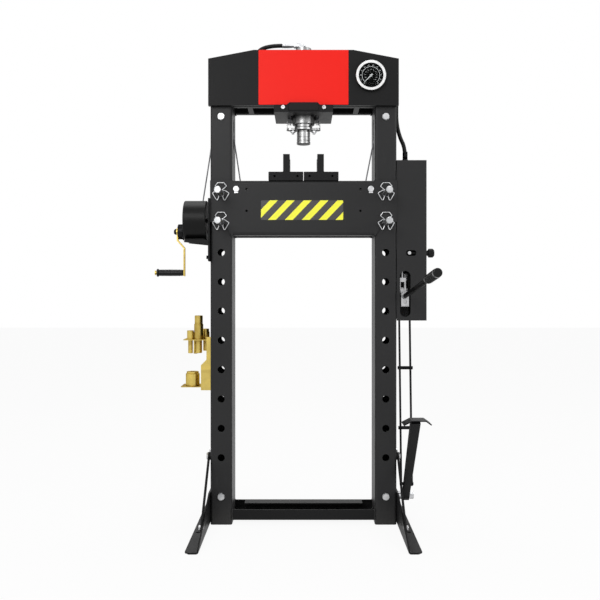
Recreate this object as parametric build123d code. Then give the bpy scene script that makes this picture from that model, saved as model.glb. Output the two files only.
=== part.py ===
from build123d import *
import math
import os

# Hydraulic floor press with an H-frame, a bed on pins, a winch and a hand and foot pump.
# Millimetres. Front is -Y, right is +X, up is +Z. Z = 0 is the floor and the origin lies
# in the middle of the four anchor holes of the feet.

# Frame uprights
UP_X = 313.0          # centre of each upright from the middle
UP_W = 82.5           # width across the front
UP_D = 150.0          # depth, front to back
UP_WALL = 6.0
UP_CORNER = 9.0       # outer corner radius of the tube
UP_TOP = 1700.0
HOLE_FIRST = 254.5    # height of the lowest pin hole
HOLE_PITCH = 111.5
HOLE_COUNT = 10
HOLE_R = 13.7
BOLT_R = 8.0          # large bolts of the frame
BOLT_FIT = 0.5        # radial clearance of those bolts
BOLT_SHANK = 14.0
LOW_BOLT_Z = 107.0
HEAD_BOLT_Z = (1625.0, 1672.0)
CABLE_SLOT_Z = 1496.0     # slot for the lift cable in both walls of the uprights
CABLE_SLOT_LONG = 120.0

# Head
HEAD_LOW = 1589.0     # underside of the head
HEAD_TOP = 1786.0     # top of the beams inside the covers
BEAM_T = 8.0          # plate of the head and bed beams
BEAM_BEND = 6.0       # inner bend radius
HEAD_FLANGE = 33.0    # bottom flange, measured from the outer face of its beam
BEAM_END_GAP = 4.0    # between a flange end and the upright
STOP_X = 205.0        # stop bars between the head beams
STOP_W = 20.0
STOP_H = 8.0
COVER_FRONT = 96.0    # front face of the cover in front of the middle plane
COVER_HALF = 360.0
COVER_TOP = 1799.0
COVER_END_TOP = 1766.3
COVER_FLAT = 188.0    # half length of the level top edge
COVER_T = 3.0
COVER_GAP = 1.0       # between the cover's sloping top and the beams under it
PANEL_HALF = 169.6
PANEL_T = 1.5
PANEL_LOW = 1591.5

# Bed
BED_LOW = 1099.0
BED_TOP = 1308.0
BED_LEDGE_RISE = 51.0    # the bed plates in front of the uprights start above its underside
BED_LEDGE = BED_LOW + BED_LEDGE_RISE
BED_FLANGE = 42.0
PIN_R = 12.5
PIN_GAP = 0.08        # radial clearance of a pin in the bed plates
PIN_TIP = 206.0       # how far a pin reaches in front of the middle plane
PIN_BACK = 112.0
CLIP_WIRE = 1.75      # radius of the clip wire
CLIP_Y = -88.5        # plane of the wire clips
GROOVE_R = 9.2
GROOVE_W = 8.4
TIE_X = 255.0         # tie bolts of the bed
TIE_Z = 1275.0
TIE_R = 8.0
TIE_SLEEVE_R = 10.5
TIE_PLATE_X = 170.0   # plates that join the two bed beams
TIE_PLATE_T = 10.0
SMALL_HOLE_X = 216.0
SMALL_HOLE_R = 4.5
SMALL_HOLE_Z = (1192.5, 1275.0)

# Vee-blocks
VEE_GAP = 2.0         # between the two blocks
VEE_LONG = 132.0
VEE_H = 33.0
VEE_DEPTH = 164.0
VEE_POST_IN = 52.5    # inner face of the standing plate from the middle
VEE_POST_T = 25.0
VEE_POST_TOP = 1409.0
VEE_NOTCH = 46.0      # half width and depth of the vee

# Carriage and cylinder
PLATE_HALF_X = 111.0
PLATE_HALF_Y = 104.0
PLATE_LOW = 1562.0
PLATE_T = 12.0
PLATE_HOLE_R = 62.5
CHEEK_IN = 64.0       # the two carriers that stand in the slot of the head
CHEEK_OUT = 88.0
CHEEK_HALF_Y = 40.0
CHEEK_TOP = 1640.0
CROWN_T = 12.0        # plate over the carriers that holds the cylinder flange
ROLLER_R = 17.0
ROLLER_BORE = 8.0
ROLLER_GAP = 0.05
ROLLER_IN = 51.0
ROLLER_W = 15.0
AXLE_X = 76.0
BARREL_R = 43.0
BARREL_LOW = 1534.0
BARREL_LONG = 256.0
BARREL_TOP = BARREL_LOW + BARREL_LONG
BARREL_WALL = 11.0
FLANGE_R = 60.0
FLANGE_T = 16.0
CAP_R = 30.0
CAP_H = 41.0
CAP_TOP = BARREL_TOP + CAP_H
GLAND_R = 34.0
GLAND_LOW = 1522.0
ROD_R = 25.0
ROD_GAP = 0.05
ROD_LOW = 1507.0
PISTON_R = 31.94
PISTON_DROP = 80.0    # underside of the piston below the top of the barrel, ram drawn in
PISTON_LOW = BARREL_TOP - PISTON_DROP
PISTON_H = 26.0
TIP_LOW = 1459.0
TIP_R = 26.5
NECK_R = 21.5
YOKE_LOW = 1513.0
YOKE_T = 8.0
YOKE_HALF = 66.0
YOKE_W = 32.0
YOKE_EAR = 34.0       # height of the two turned-up ears
YOKE_BOLT_DROP = 14.0    # ends of the yoke bolts below the yoke
SPRING_X = 54.6
SPRING_R = 7.6
SPRING_LOW = 1532.0
SPRING_TOP = 1639.6
SPRING_TURNS = 12
YOKE_BOLT_X = 41.0

# Pressure hose
HOSE_R = 6.5
HOSE_RISE = 13.0      # centre of the hose above the cylinder cap
HOSE_TOP = CAP_TOP + HOSE_RISE
HOSE_END_Z = 1765.0   # level parting of the loop and the fixed hose, inside the head
HOSE_END_GAP = 0.1

# Gauge
GAUGE_X = 253.5
GAUGE_Z = 1699.0
GAUGE_R = 57.3
GAUGE_FACE_R = 47.5
GAUGE_OUT = 18.0      # how far the bezel stands in front of the cover

# Winch
DRUM_Y = -53.0
DRUM_Z = 1157.4
WCOVER_R = 75.6
WCOVER_OUT = -452.7
WCOVER_IN = -368.0
WCOVER_T = 3.0
GEAR_MODULE = 2.0
GEAR_TEETH = 38
PINION_TEETH = 12
GEAR_BACKLASH = 0.35
PINION_Y = -23.8
DRUM_R = 30.0
SHAFT_R = 8.0
HUB_R = 29.2          # ratchet hub on the pinion shaft
CRANK_LEN = 158.3
CRANK_T = 5.0
CRANK_W = 20.0
GRIP_R = 12.6
GRIP_LEN = 104.0
ROPE_R = 2.5
SHEAVE_Z = 1551.0
SHEAVE_PITCH_R = 31.3
BED_SHEAVE_PITCH_R = 20.1
BED_SHEAVE_Z = 1262.0

# Feet and lower frame
FOOT_LONG = 399.0     # half length of a foot
FOOT_OUT = 403.0      # outer edge of a foot from the middle
FOOT_T = 6.0
FOOT_H = 124.0        # height of the standing flange at the upright
FOOT_TIP_H = 14.0
ANCHOR_X = 386.0
ANCHOR_Y = 183.0
ANCHOR_R = 8.5
CROSS_LOW = 16.0
CROSS_TOP = 57.0
CROSS_FLANGE = 59.0
CROSS_T = 4.0
BRACE_W = 30.0
BRACE_T = 5.0

# Pump box, pump and pedal
PBOX_OUT = 468.5
PBOX_LOW = 776.0
PBOX_TOP = 1386.0
PBOX_T = 3.0
PBOX_HALF = 75.0
SLOT_X = 387.0        # lever slot
SLOT_W = 40.0
SLOT_LOW = 790.0
SLOT_HIGH = 965.0
LEVER_Y = -4.0        # lever pivot
LEVER_Z = 893.0
LEVER_PIN_Y = -36.0   # pin that drives the hand plunger
LEVER_X = 386.5
LEVER_R = 9.0
LEVER_RISE = 6.1      # degrees above level at rest
HPL_X = 380.0
FPL_X = 395.5
FPL_Y = 34.0
VALVE_Y = -59.0
VALVE_Z = 1033.0
KNOB_R = 16.5
PEDAL_Z = 93.0
PEDAL_X = 398.3
PEDAL_ANGLE = 52.0
PEDAL_LEN = 424.0
LINK_PIN_S = 70.0     # link pin from the pedal axle along the arm
LINK_X = (375.3, 416.4)
LINK_TOP_Z = 945.0
LINK_W = 18.0
LINK_T = 6.0
LINK_PIN_R = 6.0
FOOT_DRIVE_R = 6.0
AXLE_R = 10.0
PORT_X = 396.0
PORT_R = 10.0
PUMP_FRONT = -46.0
PUMP_LOW = 985.0
HPL_R = 8.0
FPL_R = 9.0
PLUNGER_GAP = 0.05
PIVOT_R = 6.0
DRIVE_R = 6.0
PIVOT_LUG_X = (357.5, 412.0)
PIVOT_LUG_T = 7.5
LUG_T = 12.0
VALVE_ROD_R = 5.0
VALVE_SLOT_IN = 389.5
VALVE_SLOT_OUT = 429.0
VALVE_SCREW_X = 402.4
LEVER_REACH = 775.0
LEVER_GRIP = 176.0
LEVER_GRIP_R = 14.0

# Tool rack
RACK_SHELF_Z = 702.0
RACK_TRAY_Z = 522.0
RACK_T = 3.0
RACK_LOW = 508.0
RACK_TOP = 712.0


def tube_x(radius, x0, x1, y, z):
    return Pos((x0 + x1) / 2, y, z) * Rot(0, 90, 0) * Cylinder(radius, x1 - x0)


def tube_y(radius, x, y0, y1, z):
    return Pos(x, (y0 + y1) / 2, z) * Rot(90, 0, 0) * Cylinder(radius, y1 - y0)


def tube_z(radius, x, y, z0, z1):
    return Pos(x, y, (z0 + z1) / 2) * Cylinder(radius, z1 - z0)


def block(x0, x1, y0, y1, z0, z1):
    return Pos((x0 + x1) / 2, (y0 + y1) / 2, (z0 + z1) / 2) * Box(x1 - x0, y1 - y0, z1 - z0)


def outline(points):
    return make_face(Polyline(*points, close=True))


def along_x(face, x0, x1):
    """Section drawn in (Y, Z), drawn out from x0 to x1."""
    where = Plane(origin=(x0, 0, 0), x_dir=(0, 1, 0), z_dir=(1, 0, 0))
    return extrude(where * face, amount=x1 - x0)


def along_y(face, y0, y1):
    """Section drawn in (X, Z), drawn out from y1 forward to y0."""
    where = Plane(origin=(0, y1, 0), x_dir=(1, 0, 0), z_dir=(0, -1, 0))
    return extrude(where * face, amount=y1 - y0)


def along_z(face, z0, z1):
    """Section drawn in (X, Y), drawn out from z0 up to z1."""
    return extrude(Pos(0, 0, z0) * face, amount=z1 - z0)


def inset_line(points, distance):
    """The same open line moved to its left."""
    moved = []
    for i, point in enumerate(points):
        normals = []
        if i > 0:
            normals.append(left_normal(points[i - 1], point))
        if i < len(points) - 1:
            normals.append(left_normal(point, points[i + 1]))
        nx = sum(n[0] for n in normals) / len(normals)
        ny = sum(n[1] for n in normals) / len(normals)
        scale = distance / (nx * nx + ny * ny)
        moved.append((point[0] + nx * scale, point[1] + ny * scale))
    return moved


def left_normal(a, b):
    length = math.dist(a, b)
    return (-(b[1] - a[1]) / length, (b[0] - a[0]) / length)


def folded(points, thickness, bend):
    """Section of a folded sheet: its outer line, with the sheet on the left of it."""
    inner = inset_line(points, thickness)
    outside = FilletPolyline(*points, radius=bend + thickness)
    inside = FilletPolyline(*inner, radius=bend)
    ends = [Line(points[0], inner[0]), Line(points[-1], inner[-1])]
    return make_face([*outside.edges(), *inside.edges(), *ends])


def hose(points, radii, radius):
    """Round cord along straight runs joined by tangent arcs; returns it with its length."""
    path = FilletPolyline(*points, radius=radii)
    start = Plane(origin=path @ 0, z_dir=path % 0)
    return sweep(start * Circle(radius), path=path), path.length


def hex_bolt(across, head_h, shank_r, shank_len):
    """Bolt along -Z: head on top of Z = 0, shank below it."""
    head = extrude(RegularPolygon(across / 2, 6, major_radius=False), amount=head_h)
    cone = Pos(0, 0, head_h / 2) * Cone(across * 0.72, across * 0.5, head_h)
    return (head & cone) + Pos(0, 0, -shank_len / 2) * Cylinder(shank_r, shank_len)


def group(pieces):
    return Compound(children=[solid for piece in pieces for solid in piece.solids()])


def save(name, shape):
    export_step(shape, f"parts/{name}.step")


def both_sides(shape):
    return [shape, mirror(shape, about=Plane.YZ)]


os.makedirs("parts", exist_ok=True)

# Uprights
hole_heights = [HOLE_FIRST + HOLE_PITCH * n for n in range(HOLE_COUNT)]
half_w = UP_W / 2
half_d = UP_D / 2
up_in = UP_X - half_w
up_out = UP_X + half_w
section = RectangleRounded(UP_W, UP_D, UP_CORNER)
section -= RectangleRounded(UP_W - 2 * UP_WALL, UP_D - 2 * UP_WALL, UP_CORNER - UP_WALL)
upright = extrude(Pos(UP_X, 0) * section, amount=UP_TOP)
for height in hole_heights:
    upright -= tube_y(HOLE_R, UP_X, -half_d - 1, half_d + 1, height)
bolt_heights = (LOW_BOLT_Z, SHEAVE_Z)
for height in bolt_heights:
    upright -= tube_y(BOLT_R + BOLT_FIT, UP_X, -half_d - 1, half_d + 1, height)
for height in HEAD_BOLT_Z:
    upright -= tube_y(BOLT_R + BOLT_FIT, UP_X, -half_d - 1, half_d + 1, height)
cable_slot = SlotOverall(CABLE_SLOT_LONG, 26.0)
for wall_x in (up_in, up_out - UP_WALL):
    slot = Plane(origin=(wall_x - 1, 0, CABLE_SLOT_Z), x_dir=(0, 0, 1), z_dir=(1, 0, 0)) * cable_slot
    upright -= extrude(slot, amount=UP_WALL + 2)
for y in (-45.0, 45.0):
    upright -= tube_x(BOLT_R + BOLT_FIT, up_out - UP_WALL - 1, up_out + 1, y, 35.0)
    upright -= tube_x(BOLT_R + BOLT_FIT, up_out - UP_WALL - 1, up_out + 1, y, 255.0)
save("right_upright", upright)
save("left_upright", mirror(upright, about=Plane.YZ))

# Head beams
flange_half = up_in - BEAM_END_GAP
beam_out = half_d + BEAM_T


def beam(low, high, flange, top_flange):
    """Front beam: plate in front of the uprights with folded flanges between them."""
    line = [(-beam_out + flange, low), (-beam_out, low), (-beam_out, high)]
    if top_flange:
        line.append((-beam_out + flange, high))
    turned = [(y, z) for y, z in reversed(line)]
    channel = along_x(folded(turned, BEAM_T, BEAM_BEND), -flange_half, flange_half)
    plate = block(-up_out, up_out, -beam_out, -half_d, low, high)
    plate -= block(-flange_half, flange_half, -beam_out - 1, -half_d + 1, low - 1, high + 1)
    return channel + plate


head_front = beam(HEAD_LOW, HEAD_TOP, HEAD_FLANGE, False)
cover_fall = (COVER_TOP - COVER_END_TOP) / (COVER_HALF - COVER_FLAT)
under_cover = COVER_TOP - COVER_T - COVER_GAP
corner_x = COVER_FLAT + (under_cover - HEAD_TOP) / cover_fall
for side in (-1, 1):
    corner = outline([
        (side * corner_x, HEAD_TOP), (side * COVER_HALF, COVER_END_TOP - COVER_T - COVER_GAP),
        (side * COVER_HALF, HEAD_TOP + 1), (side * corner_x, HEAD_TOP + 1),
    ])
    head_front -= along_y(corner, -beam_out - 1, -half_d + 1)
for x in (-UP_X, UP_X):
    for height in HEAD_BOLT_Z:
        head_front -= tube_y(BOLT_R + BOLT_FIT, x, -beam_out - 1, -half_d + 1, height)
head_back = mirror(head_front, about=Plane.XZ)
for x in (-STOP_X, STOP_X):
    low_y = -half_d + 0.3
    high_y = beam_out - HEAD_FLANGE + 1.0
    x0 = x - STOP_W / 2
    head_front -= block(x0 - 0.5, x0 + STOP_W + 0.5, low_y - 0.3, 0, HEAD_LOW - 1, HEAD_LOW + BEAM_T + 1)
    bar = block(x - STOP_W / 2, x + STOP_W / 2, low_y, high_y, HEAD_LOW, HEAD_LOW + STOP_H)
    head_back += fillet(bar.edges().filter_by(Axis.Y), 1.2)
save("head_front_beam", head_front)
save("head_back_beam", head_back)

cover_face = outline([
    (-COVER_HALF, HEAD_LOW), (COVER_HALF, HEAD_LOW), (COVER_HALF, COVER_END_TOP),
    (COVER_FLAT, COVER_TOP), (-COVER_FLAT, COVER_TOP), (-COVER_HALF, COVER_END_TOP),
])
cover = along_y(cover_face, -COVER_FRONT, -half_d - 0.4)
rim = cover.faces().filter_by(Axis.Y).sort_by(Axis.Y)[0].edges()
cover = chamfer([e for e in rim if abs(e.center().Z - HEAD_LOW) > 1], 1.2)
hollow = offset(cover_face, amount=-COVER_T, kind=Kind.INTERSECTION)
cover -= along_y(hollow, -COVER_FRONT + COVER_T, -half_d)
cover -= block(-up_out - 0.6, up_out + 0.6, -beam_out - 0.3, 0, HEAD_LOW - 1, HEAD_TOP + 0.4)
cover -= tube_y(30.0, GAUGE_X, -COVER_FRONT - 1, -COVER_FRONT + COVER_T + 1, GAUGE_Z)
save("head_front_cover", cover)

panel = block(-PANEL_HALF, PANEL_HALF, -COVER_FRONT - PANEL_T, -COVER_FRONT, PANEL_LOW, COVER_TOP - 1.2)
panel = fillet(panel.edges().filter_by(Axis.Y), 3.0)
save("red_front_panel", panel)

# Lower frame
cross_edge = half_d - 1.0
back_line = [
    (cross_edge - CROSS_FLANGE, CROSS_LOW), (cross_edge, CROSS_LOW),
    (cross_edge, CROSS_TOP), (cross_edge - CROSS_FLANGE, CROSS_TOP),
]
lower_back = along_x(folded(back_line, CROSS_T, 3.0), -up_in, up_in)
for side in (-1, 1):
    x0 = side * up_in
    notch_face = Pos(x0, cross_edge - CROSS_FLANGE) * RectangleRounded(82.0, 96.0, 12.0)
    lower_back -= along_z(notch_face, CROSS_TOP - CROSS_T - 4, CROSS_TOP + 1)
front_line = [
    (-cross_edge, CROSS_TOP), (-cross_edge, CROSS_LOW), (-cross_edge + CROSS_FLANGE, CROSS_LOW),
]
lower_front = along_x(folded(front_line, CROSS_T, 3.0), -up_in, up_in)
save("lower_front_crossmember", lower_front)
save("lower_back_crossmember", lower_back)

# Feet: angles with the standing flange against the upright, tapering to the tips
foot_in = up_out
foot_line = [(foot_in, FOOT_H), (foot_in, 0.0), (FOOT_OUT, 0.0)]
foot_where = Plane(origin=(0, FOOT_LONG, 0), x_dir=(1, 0, 0), z_dir=(0, -1, 0))
foot = extrude(foot_where * folded(foot_line, FOOT_T, 4.0), amount=2 * FOOT_LONG)
side_view = outline([
    (-FOOT_LONG, -1), (FOOT_LONG, -1), (FOOT_LONG, FOOT_TIP_H), (half_d + 12, FOOT_H),
    (-half_d - 12, FOOT_H), (-FOOT_LONG, FOOT_TIP_H),
])
foot &= along_x(side_view, foot_in - 1, FOOT_OUT + 1)
plan = Pos((foot_in + FOOT_OUT) / 2, 0) * Rectangle(FOOT_OUT - foot_in, 2 * FOOT_LONG)
plan = chamfer(plan.vertices().group_by(Axis.X)[-1], 14.0)
foot &= along_z(plan, -1, FOOT_H + 1)
brace_foot_y = 265.0
brace_foot_z = 48.0
for side in (-1, 1):
    foot -= tube_z(ANCHOR_R, ANCHOR_X, side * ANCHOR_Y, -1, FOOT_T + 1)
    foot -= tube_x(BOLT_R + BOLT_FIT, foot_in - 1, foot_in + FOOT_T + 1, side * 45.0, 35.0)
    foot -= tube_x(5.0, foot_in - 1, foot_in + FOOT_T + 1, side * 215.0, 44.0)
    foot -= tube_x(6.5, foot_in - 1, foot_in + FOOT_T + 1, side * brace_foot_y, brace_foot_z)
foot -= tube_x(10.05, foot_in - 1, foot_in + FOOT_T + 1, 0, PEDAL_Z)
save("right_foot", foot)
save("left_foot", mirror(foot, about=Plane.YZ))

# Flat braces from the uprights down to the feet, with flattened bolted ends
brace_top = (45.0, 255.0)
brace_end = (brace_foot_y, brace_foot_z)
run = math.dist(brace_top, brace_end)
tilt = math.degrees(math.atan2(brace_end[1] - brace_top[1], brace_end[0] - brace_top[0]))
strap = SlotCenterToCenter(run, BRACE_W) - Pos(-run / 2, 0) * Circle(BOLT_R + BOLT_FIT)
strap -= Pos(run / 2, 0) * Circle(6.5)
mid = ((brace_top[0] + brace_end[0]) / 2, (brace_top[1] + brace_end[1]) / 2)
brace_in = foot_in + FOOT_T
brace = along_x(Pos(*mid) * Rot(0, 0, tilt) * strap, brace_in, brace_in + BRACE_T)
spacer_ring = tube_x(15.0, foot_in, brace_in, 45.0, 255.0)
spacer_ring -= tube_x(BOLT_R + BOLT_FIT, foot_in - 1, brace_in + 1, 45.0, 255.0)
braces = []
for piece in (brace + spacer_ring, mirror(brace + spacer_ring, about=Plane.XZ)):
    braces += both_sides(piece)
save("foot_braces", group(braces))

# Frame bolts
front_bolt = Rot(90, 0, 0) * hex_bolt(24.0, 9.0, BOLT_R, BOLT_SHANK)
side_bolt = Rot(0, 90, 0) * hex_bolt(24.0, 6.0, BOLT_R, BOLT_SHANK)
small_bolt = Rot(0, 90, 0) * hex_bolt(17.0, 7.0, 6.0, 11.0)
bolts = []
for height in bolt_heights:
    at = Pos(UP_X, -half_d, height) * front_bolt
    bolts += both_sides(at) + both_sides(mirror(at, about=Plane.XZ))
for height in HEAD_BOLT_Z:
    at = Pos(UP_X, beam_out, height) * (Rot(180, 0, 0) * front_bolt)
    bolts += both_sides(at)
    bolts += both_sides(Pos(UP_X, -beam_out, height) * front_bolt)
for y in (-45.0, 45.0):
    bolts += both_sides(Pos(brace_in, y, 35.0) * side_bolt)
    bolts += both_sides(Pos(brace_in + BRACE_T, y, 255.0) * side_bolt)
    low_y = brace_foot_y * (1 if y > 0 else -1)
    bolts += both_sides(Pos(brace_in + BRACE_T, low_y, brace_foot_z) * small_bolt)
save("frame_bolts", group(bolts))

# Bed
bed_front = beam(BED_LOW, BED_TOP, BED_FLANGE, True)
upper_pin_z = hole_heights[9]
lower_pin_z = hole_heights[8]
for side in (-1, 1):
    end = outline([
        (side * (up_out + 1), BED_LOW - 1), (side * (up_out + 1), BED_LEDGE),
        (side * (UP_X - 12.0), BED_LEDGE), (side * (up_in + 3.0), BED_LOW + 2),
        (side * (up_in + 3.0), BED_LOW - 1),
    ])
    bed_front -= along_y(end, -beam_out - 1, -half_d + 1)
    for height in (lower_pin_z, upper_pin_z):
        bed_front -= tube_y(PIN_R + PIN_GAP, side * UP_X, -beam_out - 1, -half_d + 1, height)
    for height in SMALL_HOLE_Z:
        bed_front -= tube_y(SMALL_HOLE_R, side * SMALL_HOLE_X, -beam_out - 1, -half_d + 1, height)
bed_back = mirror(bed_front, about=Plane.XZ)
for x in (-TIE_X, TIE_X):
    bed_front -= tube_y(TIE_R + BOLT_FIT, x, -beam_out - 1, -half_d + 1, TIE_Z)
    bed_back -= tube_y(TIE_R + BOLT_FIT, x, half_d - 1, beam_out + 1, TIE_Z)
tie_hole_z = BED_SHEAVE_Z - BED_SHEAVE_PITCH_R
for side in (-1, 1):
    x = side * TIE_PLATE_X
    x0 = x - TIE_PLATE_T / 2
    tie = block(x0, x0 + TIE_PLATE_T, -half_d + 0.2, half_d, BED_LOW + BEAM_T + 8, BED_TOP - BEAM_T - 8)
    tie = chamfer(tie.edges().filter_by(Axis.X), 16.0)
    tie -= tube_x(14.0, x - TIE_PLATE_T, x + TIE_PLATE_T, 0.0, tie_hole_z)
    tie -= tube_x(26.0, x - TIE_PLATE_T, x + TIE_PLATE_T, 0.0, 1170.0)
    bed_back += tie
save("bed_front_beam", bed_front)
save("bed_back_beam", bed_back)

# Tie bolts with a spacer sleeve between the beams and a flat under each round head
tie_bolts = []
sleeve = tube_y(TIE_SLEEVE_R, TIE_X, -half_d, half_d, TIE_Z)
shank = tube_y(TIE_R, TIE_X, -beam_out, beam_out, TIE_Z)
head = tube_y(12.0, TIE_X, -beam_out - 7.0, -beam_out, TIE_Z)
head = fillet(head.edges().sort_by(Axis.Y)[0], 2.5)
stop_lug = block(TIE_X - 7.5, TIE_X + 7.5, -beam_out - 5.0, -beam_out, TIE_Z - 15.5, TIE_Z)
nut = extrude(RegularPolygon(12.0, 6, major_radius=False), amount=10)
nut = Pos(TIE_X, beam_out, TIE_Z) * Rot(-90, 0, 0) * nut
tie_bolts += both_sides(sleeve + shank + head + stop_lug + nut)
save("bed_tie_bolts", group(tie_bolts))


def pin_and_clip(side, height):
    """Bed pin, grooved for its clip, and the wire clip that grips it in front of the bed."""
    x = side * UP_X
    pin = tube_y(PIN_R, x, -PIN_TIP, PIN_BACK, height)
    pin = chamfer(pin.edges().filter_by(GeomType.CIRCLE), 2.0)
    ring = tube_y(PIN_R + 1, x, CLIP_Y - GROOVE_W / 2, CLIP_Y + GROOVE_W / 2, height)
    ring -= tube_y(GROOVE_R, x, CLIP_Y - GROOVE_W / 2 - 1, CLIP_Y + GROOVE_W / 2 + 1, height)
    pin -= ring
    gap = GROOVE_R + CLIP_WIRE + 0.05
    lay = CLIP_WIRE + 0.1
    right_arm = [
        (-gap * math.cos(math.radians(15)), -gap * math.sin(math.radians(15))),
        (-gap * 0.62, -gap * 1.02), (-13.4, -29.5), (-31.5, 1.0), (-14.0, gap + 0.6),
        (4.0, gap + 0.6), (22.0, 27.0), (12.0, 40.0), (-12.0, 40.0), (-22.0, 27.0),
        (-4.0, gap + 0.6), (14.0, gap + 0.6), (31.5, 1.0), (13.4, -29.5),
        (gap * 0.62, -gap * 1.02),
        (gap * math.cos(math.radians(15)), -gap * math.sin(math.radians(15))),
    ]
    shares = [-1] * 6 + [-0.6, -0.2, 0.2, 0.6] + [1] * 6
    path_points = [(x + px, CLIP_Y + lay * s, height + pz) for (px, pz), s in zip(right_arm, shares)]
    path = FilletPolyline(*path_points, radius=3.2)
    wire = sweep(Plane(origin=path @ 0, z_dir=path % 0) * Circle(CLIP_WIRE), path=path)
    return group([pin, wire])


for word, side in (("left", -1), ("right", 1)):
    save(f"{word}_upper_bed_pin", pin_and_clip(side, upper_pin_z))
    save(f"{word}_lower_bed_pin", pin_and_clip(side, lower_pin_z))

# Vee-blocks
vee_base_x0 = VEE_GAP / 2
base = block(vee_base_x0, vee_base_x0 + VEE_LONG, -VEE_DEPTH / 2, VEE_DEPTH / 2, BED_TOP, BED_TOP + VEE_H)
base = chamfer(base.edges().filter_by(Axis.Y), 1.5)
vee_face = outline([
    (-VEE_DEPTH / 2 + 6, BED_TOP + VEE_H), (VEE_DEPTH / 2 - 6, BED_TOP + VEE_H),
    (VEE_DEPTH / 2 - 6, VEE_POST_TOP - 12), (VEE_DEPTH / 2 - 18, VEE_POST_TOP),
    (VEE_NOTCH, VEE_POST_TOP), (0, VEE_POST_TOP - VEE_NOTCH), (-VEE_NOTCH, VEE_POST_TOP),
    (-VEE_DEPTH / 2 + 6, VEE_POST_TOP),
])
vee_block = base + along_x(vee_face, VEE_POST_IN, VEE_POST_IN + VEE_POST_T)
for x in (23.0, 110.0):
    vee_block -= tube_y(SMALL_HOLE_R, x, -VEE_DEPTH / 2 - 1, -VEE_DEPTH / 2 + 24, BED_TOP + VEE_H / 2)
save("vee_blocks", group(both_sides(vee_block)))

# Carriage
plate_top = PLATE_LOW + PLATE_T
carriage = block(-PLATE_HALF_X, PLATE_HALF_X, -PLATE_HALF_Y, PLATE_HALF_Y, PLATE_LOW, plate_top)
carriage -= tube_z(PLATE_HOLE_R, 0, 0, PLATE_LOW - 1, plate_top + 1)
front_bar = outline([
    (-PLATE_HALF_X, PLATE_LOW), (PLATE_HALF_X, PLATE_LOW), (PLATE_HALF_X, 1589.0),
    (63.0, 1589.0), (53.0, 1599.0), (-53.0, 1599.0), (-63.0, 1589.0), (-PLATE_HALF_X, 1589.0),
])
bar_t = PLATE_HALF_Y - COVER_FRONT - PANEL_T - 0.5
for y0, y1 in ((-PLATE_HALF_Y, -PLATE_HALF_Y + bar_t), (PLATE_HALF_Y - bar_t, PLATE_HALF_Y)):
    carriage += along_y(front_bar, y0, y1)
boss = outline([
    (-58.0, 1566.0), (58.0, 1566.0), (58.0, 1588.0), (50.0, 1597.0), (-50.0, 1597.0), (-58.0, 1588.0),
])
boss = along_y(boss, -PLATE_HALF_Y - 4.0, -PLATE_HALF_Y)
boss = chamfer(boss.faces().sort_by(Axis.Y)[0].edges(), 3.5)
carriage += boss
for side in (-1, 1):
    x0 = min(side * CHEEK_IN, side * CHEEK_OUT)
    x1 = max(side * CHEEK_IN, side * CHEEK_OUT)
    cheek = block(x0, x1, -CHEEK_HALF_Y, CHEEK_HALF_Y, plate_top - 1, CHEEK_TOP)
    carriage += cheek
    axle_z = HEAD_LOW + BEAM_T + ROLLER_R + 0.2
    carriage += tube_y(ROLLER_BORE - ROLLER_GAP, side * AXLE_X, -68.0, 68.0, axle_z)
crown_top = CHEEK_TOP + CROWN_T
crown = block(-CHEEK_OUT, CHEEK_OUT, -CHEEK_HALF_Y, CHEEK_HALF_Y, CHEEK_TOP, crown_top)
carriage += crown
carriage -= tube_z(BARREL_R + 0.5, 0, 0, plate_top, crown_top + 1)
save("carriage_frame", carriage)

for word, side in (("left", -1), ("right", 1)):
    wheels = []
    for y0 in (ROLLER_IN, -ROLLER_IN - ROLLER_W):
        wheel = tube_y(ROLLER_R, side * AXLE_X, y0, y0 + ROLLER_W, axle_z)
        wheel = chamfer(wheel.edges().filter_by(GeomType.CIRCLE), 1.2)
        wheels.append(wheel - tube_y(ROLLER_BORE, side * AXLE_X, y0 - 1, y0 + ROLLER_W + 1, axle_z))
    save(f"{word}_rollers", group(wheels))

screw_x = 77.0
screw_z = 1579.5
screws = []
for x in (-screw_x, screw_x):
    head = tube_y(7.5, x, -PLATE_HALF_Y - 7.0, -PLATE_HALF_Y, screw_z)
    head = chamfer(head.edges().sort_by(Axis.Y)[0], 1.0)
    socket = Pos(x, -PLATE_HALF_Y - 3.0, screw_z) * Rot(90, 0, 0) * extrude(RegularPolygon(3.0, 6), amount=5)
    screws.append(head - socket)
save("carriage_screws", group(screws))

# Cylinder
bore_r = BARREL_R - BARREL_WALL
barrel_profile = outline([
    (bore_r, BARREL_LOW), (BARREL_R - 1.5, BARREL_LOW), (BARREL_R, BARREL_LOW + 1.5),
    (BARREL_R, crown_top), (FLANGE_R, crown_top), (FLANGE_R, crown_top + FLANGE_T),
    (BARREL_R, crown_top + FLANGE_T), (BARREL_R, BARREL_TOP), (CAP_R, BARREL_TOP + 8),
    (CAP_R, CAP_TOP), (0, CAP_TOP), (0, BARREL_TOP - 14), (bore_r, BARREL_TOP - 14),
])
barrel = revolve(Plane.XZ * barrel_profile, axis=Axis.Z)
save("cylinder_barrel", barrel)

gland_profile = outline([
    (ROD_R + ROD_GAP, GLAND_LOW), (GLAND_R - 2, GLAND_LOW), (GLAND_R, GLAND_LOW + 2),
    (GLAND_R, BARREL_LOW), (bore_r, BARREL_LOW), (bore_r, BARREL_LOW + 30),
    (ROD_R + ROD_GAP, BARREL_LOW + 30),
])
save("gland_nut", revolve(Plane.XZ * gland_profile, axis=Axis.Z))

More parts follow.
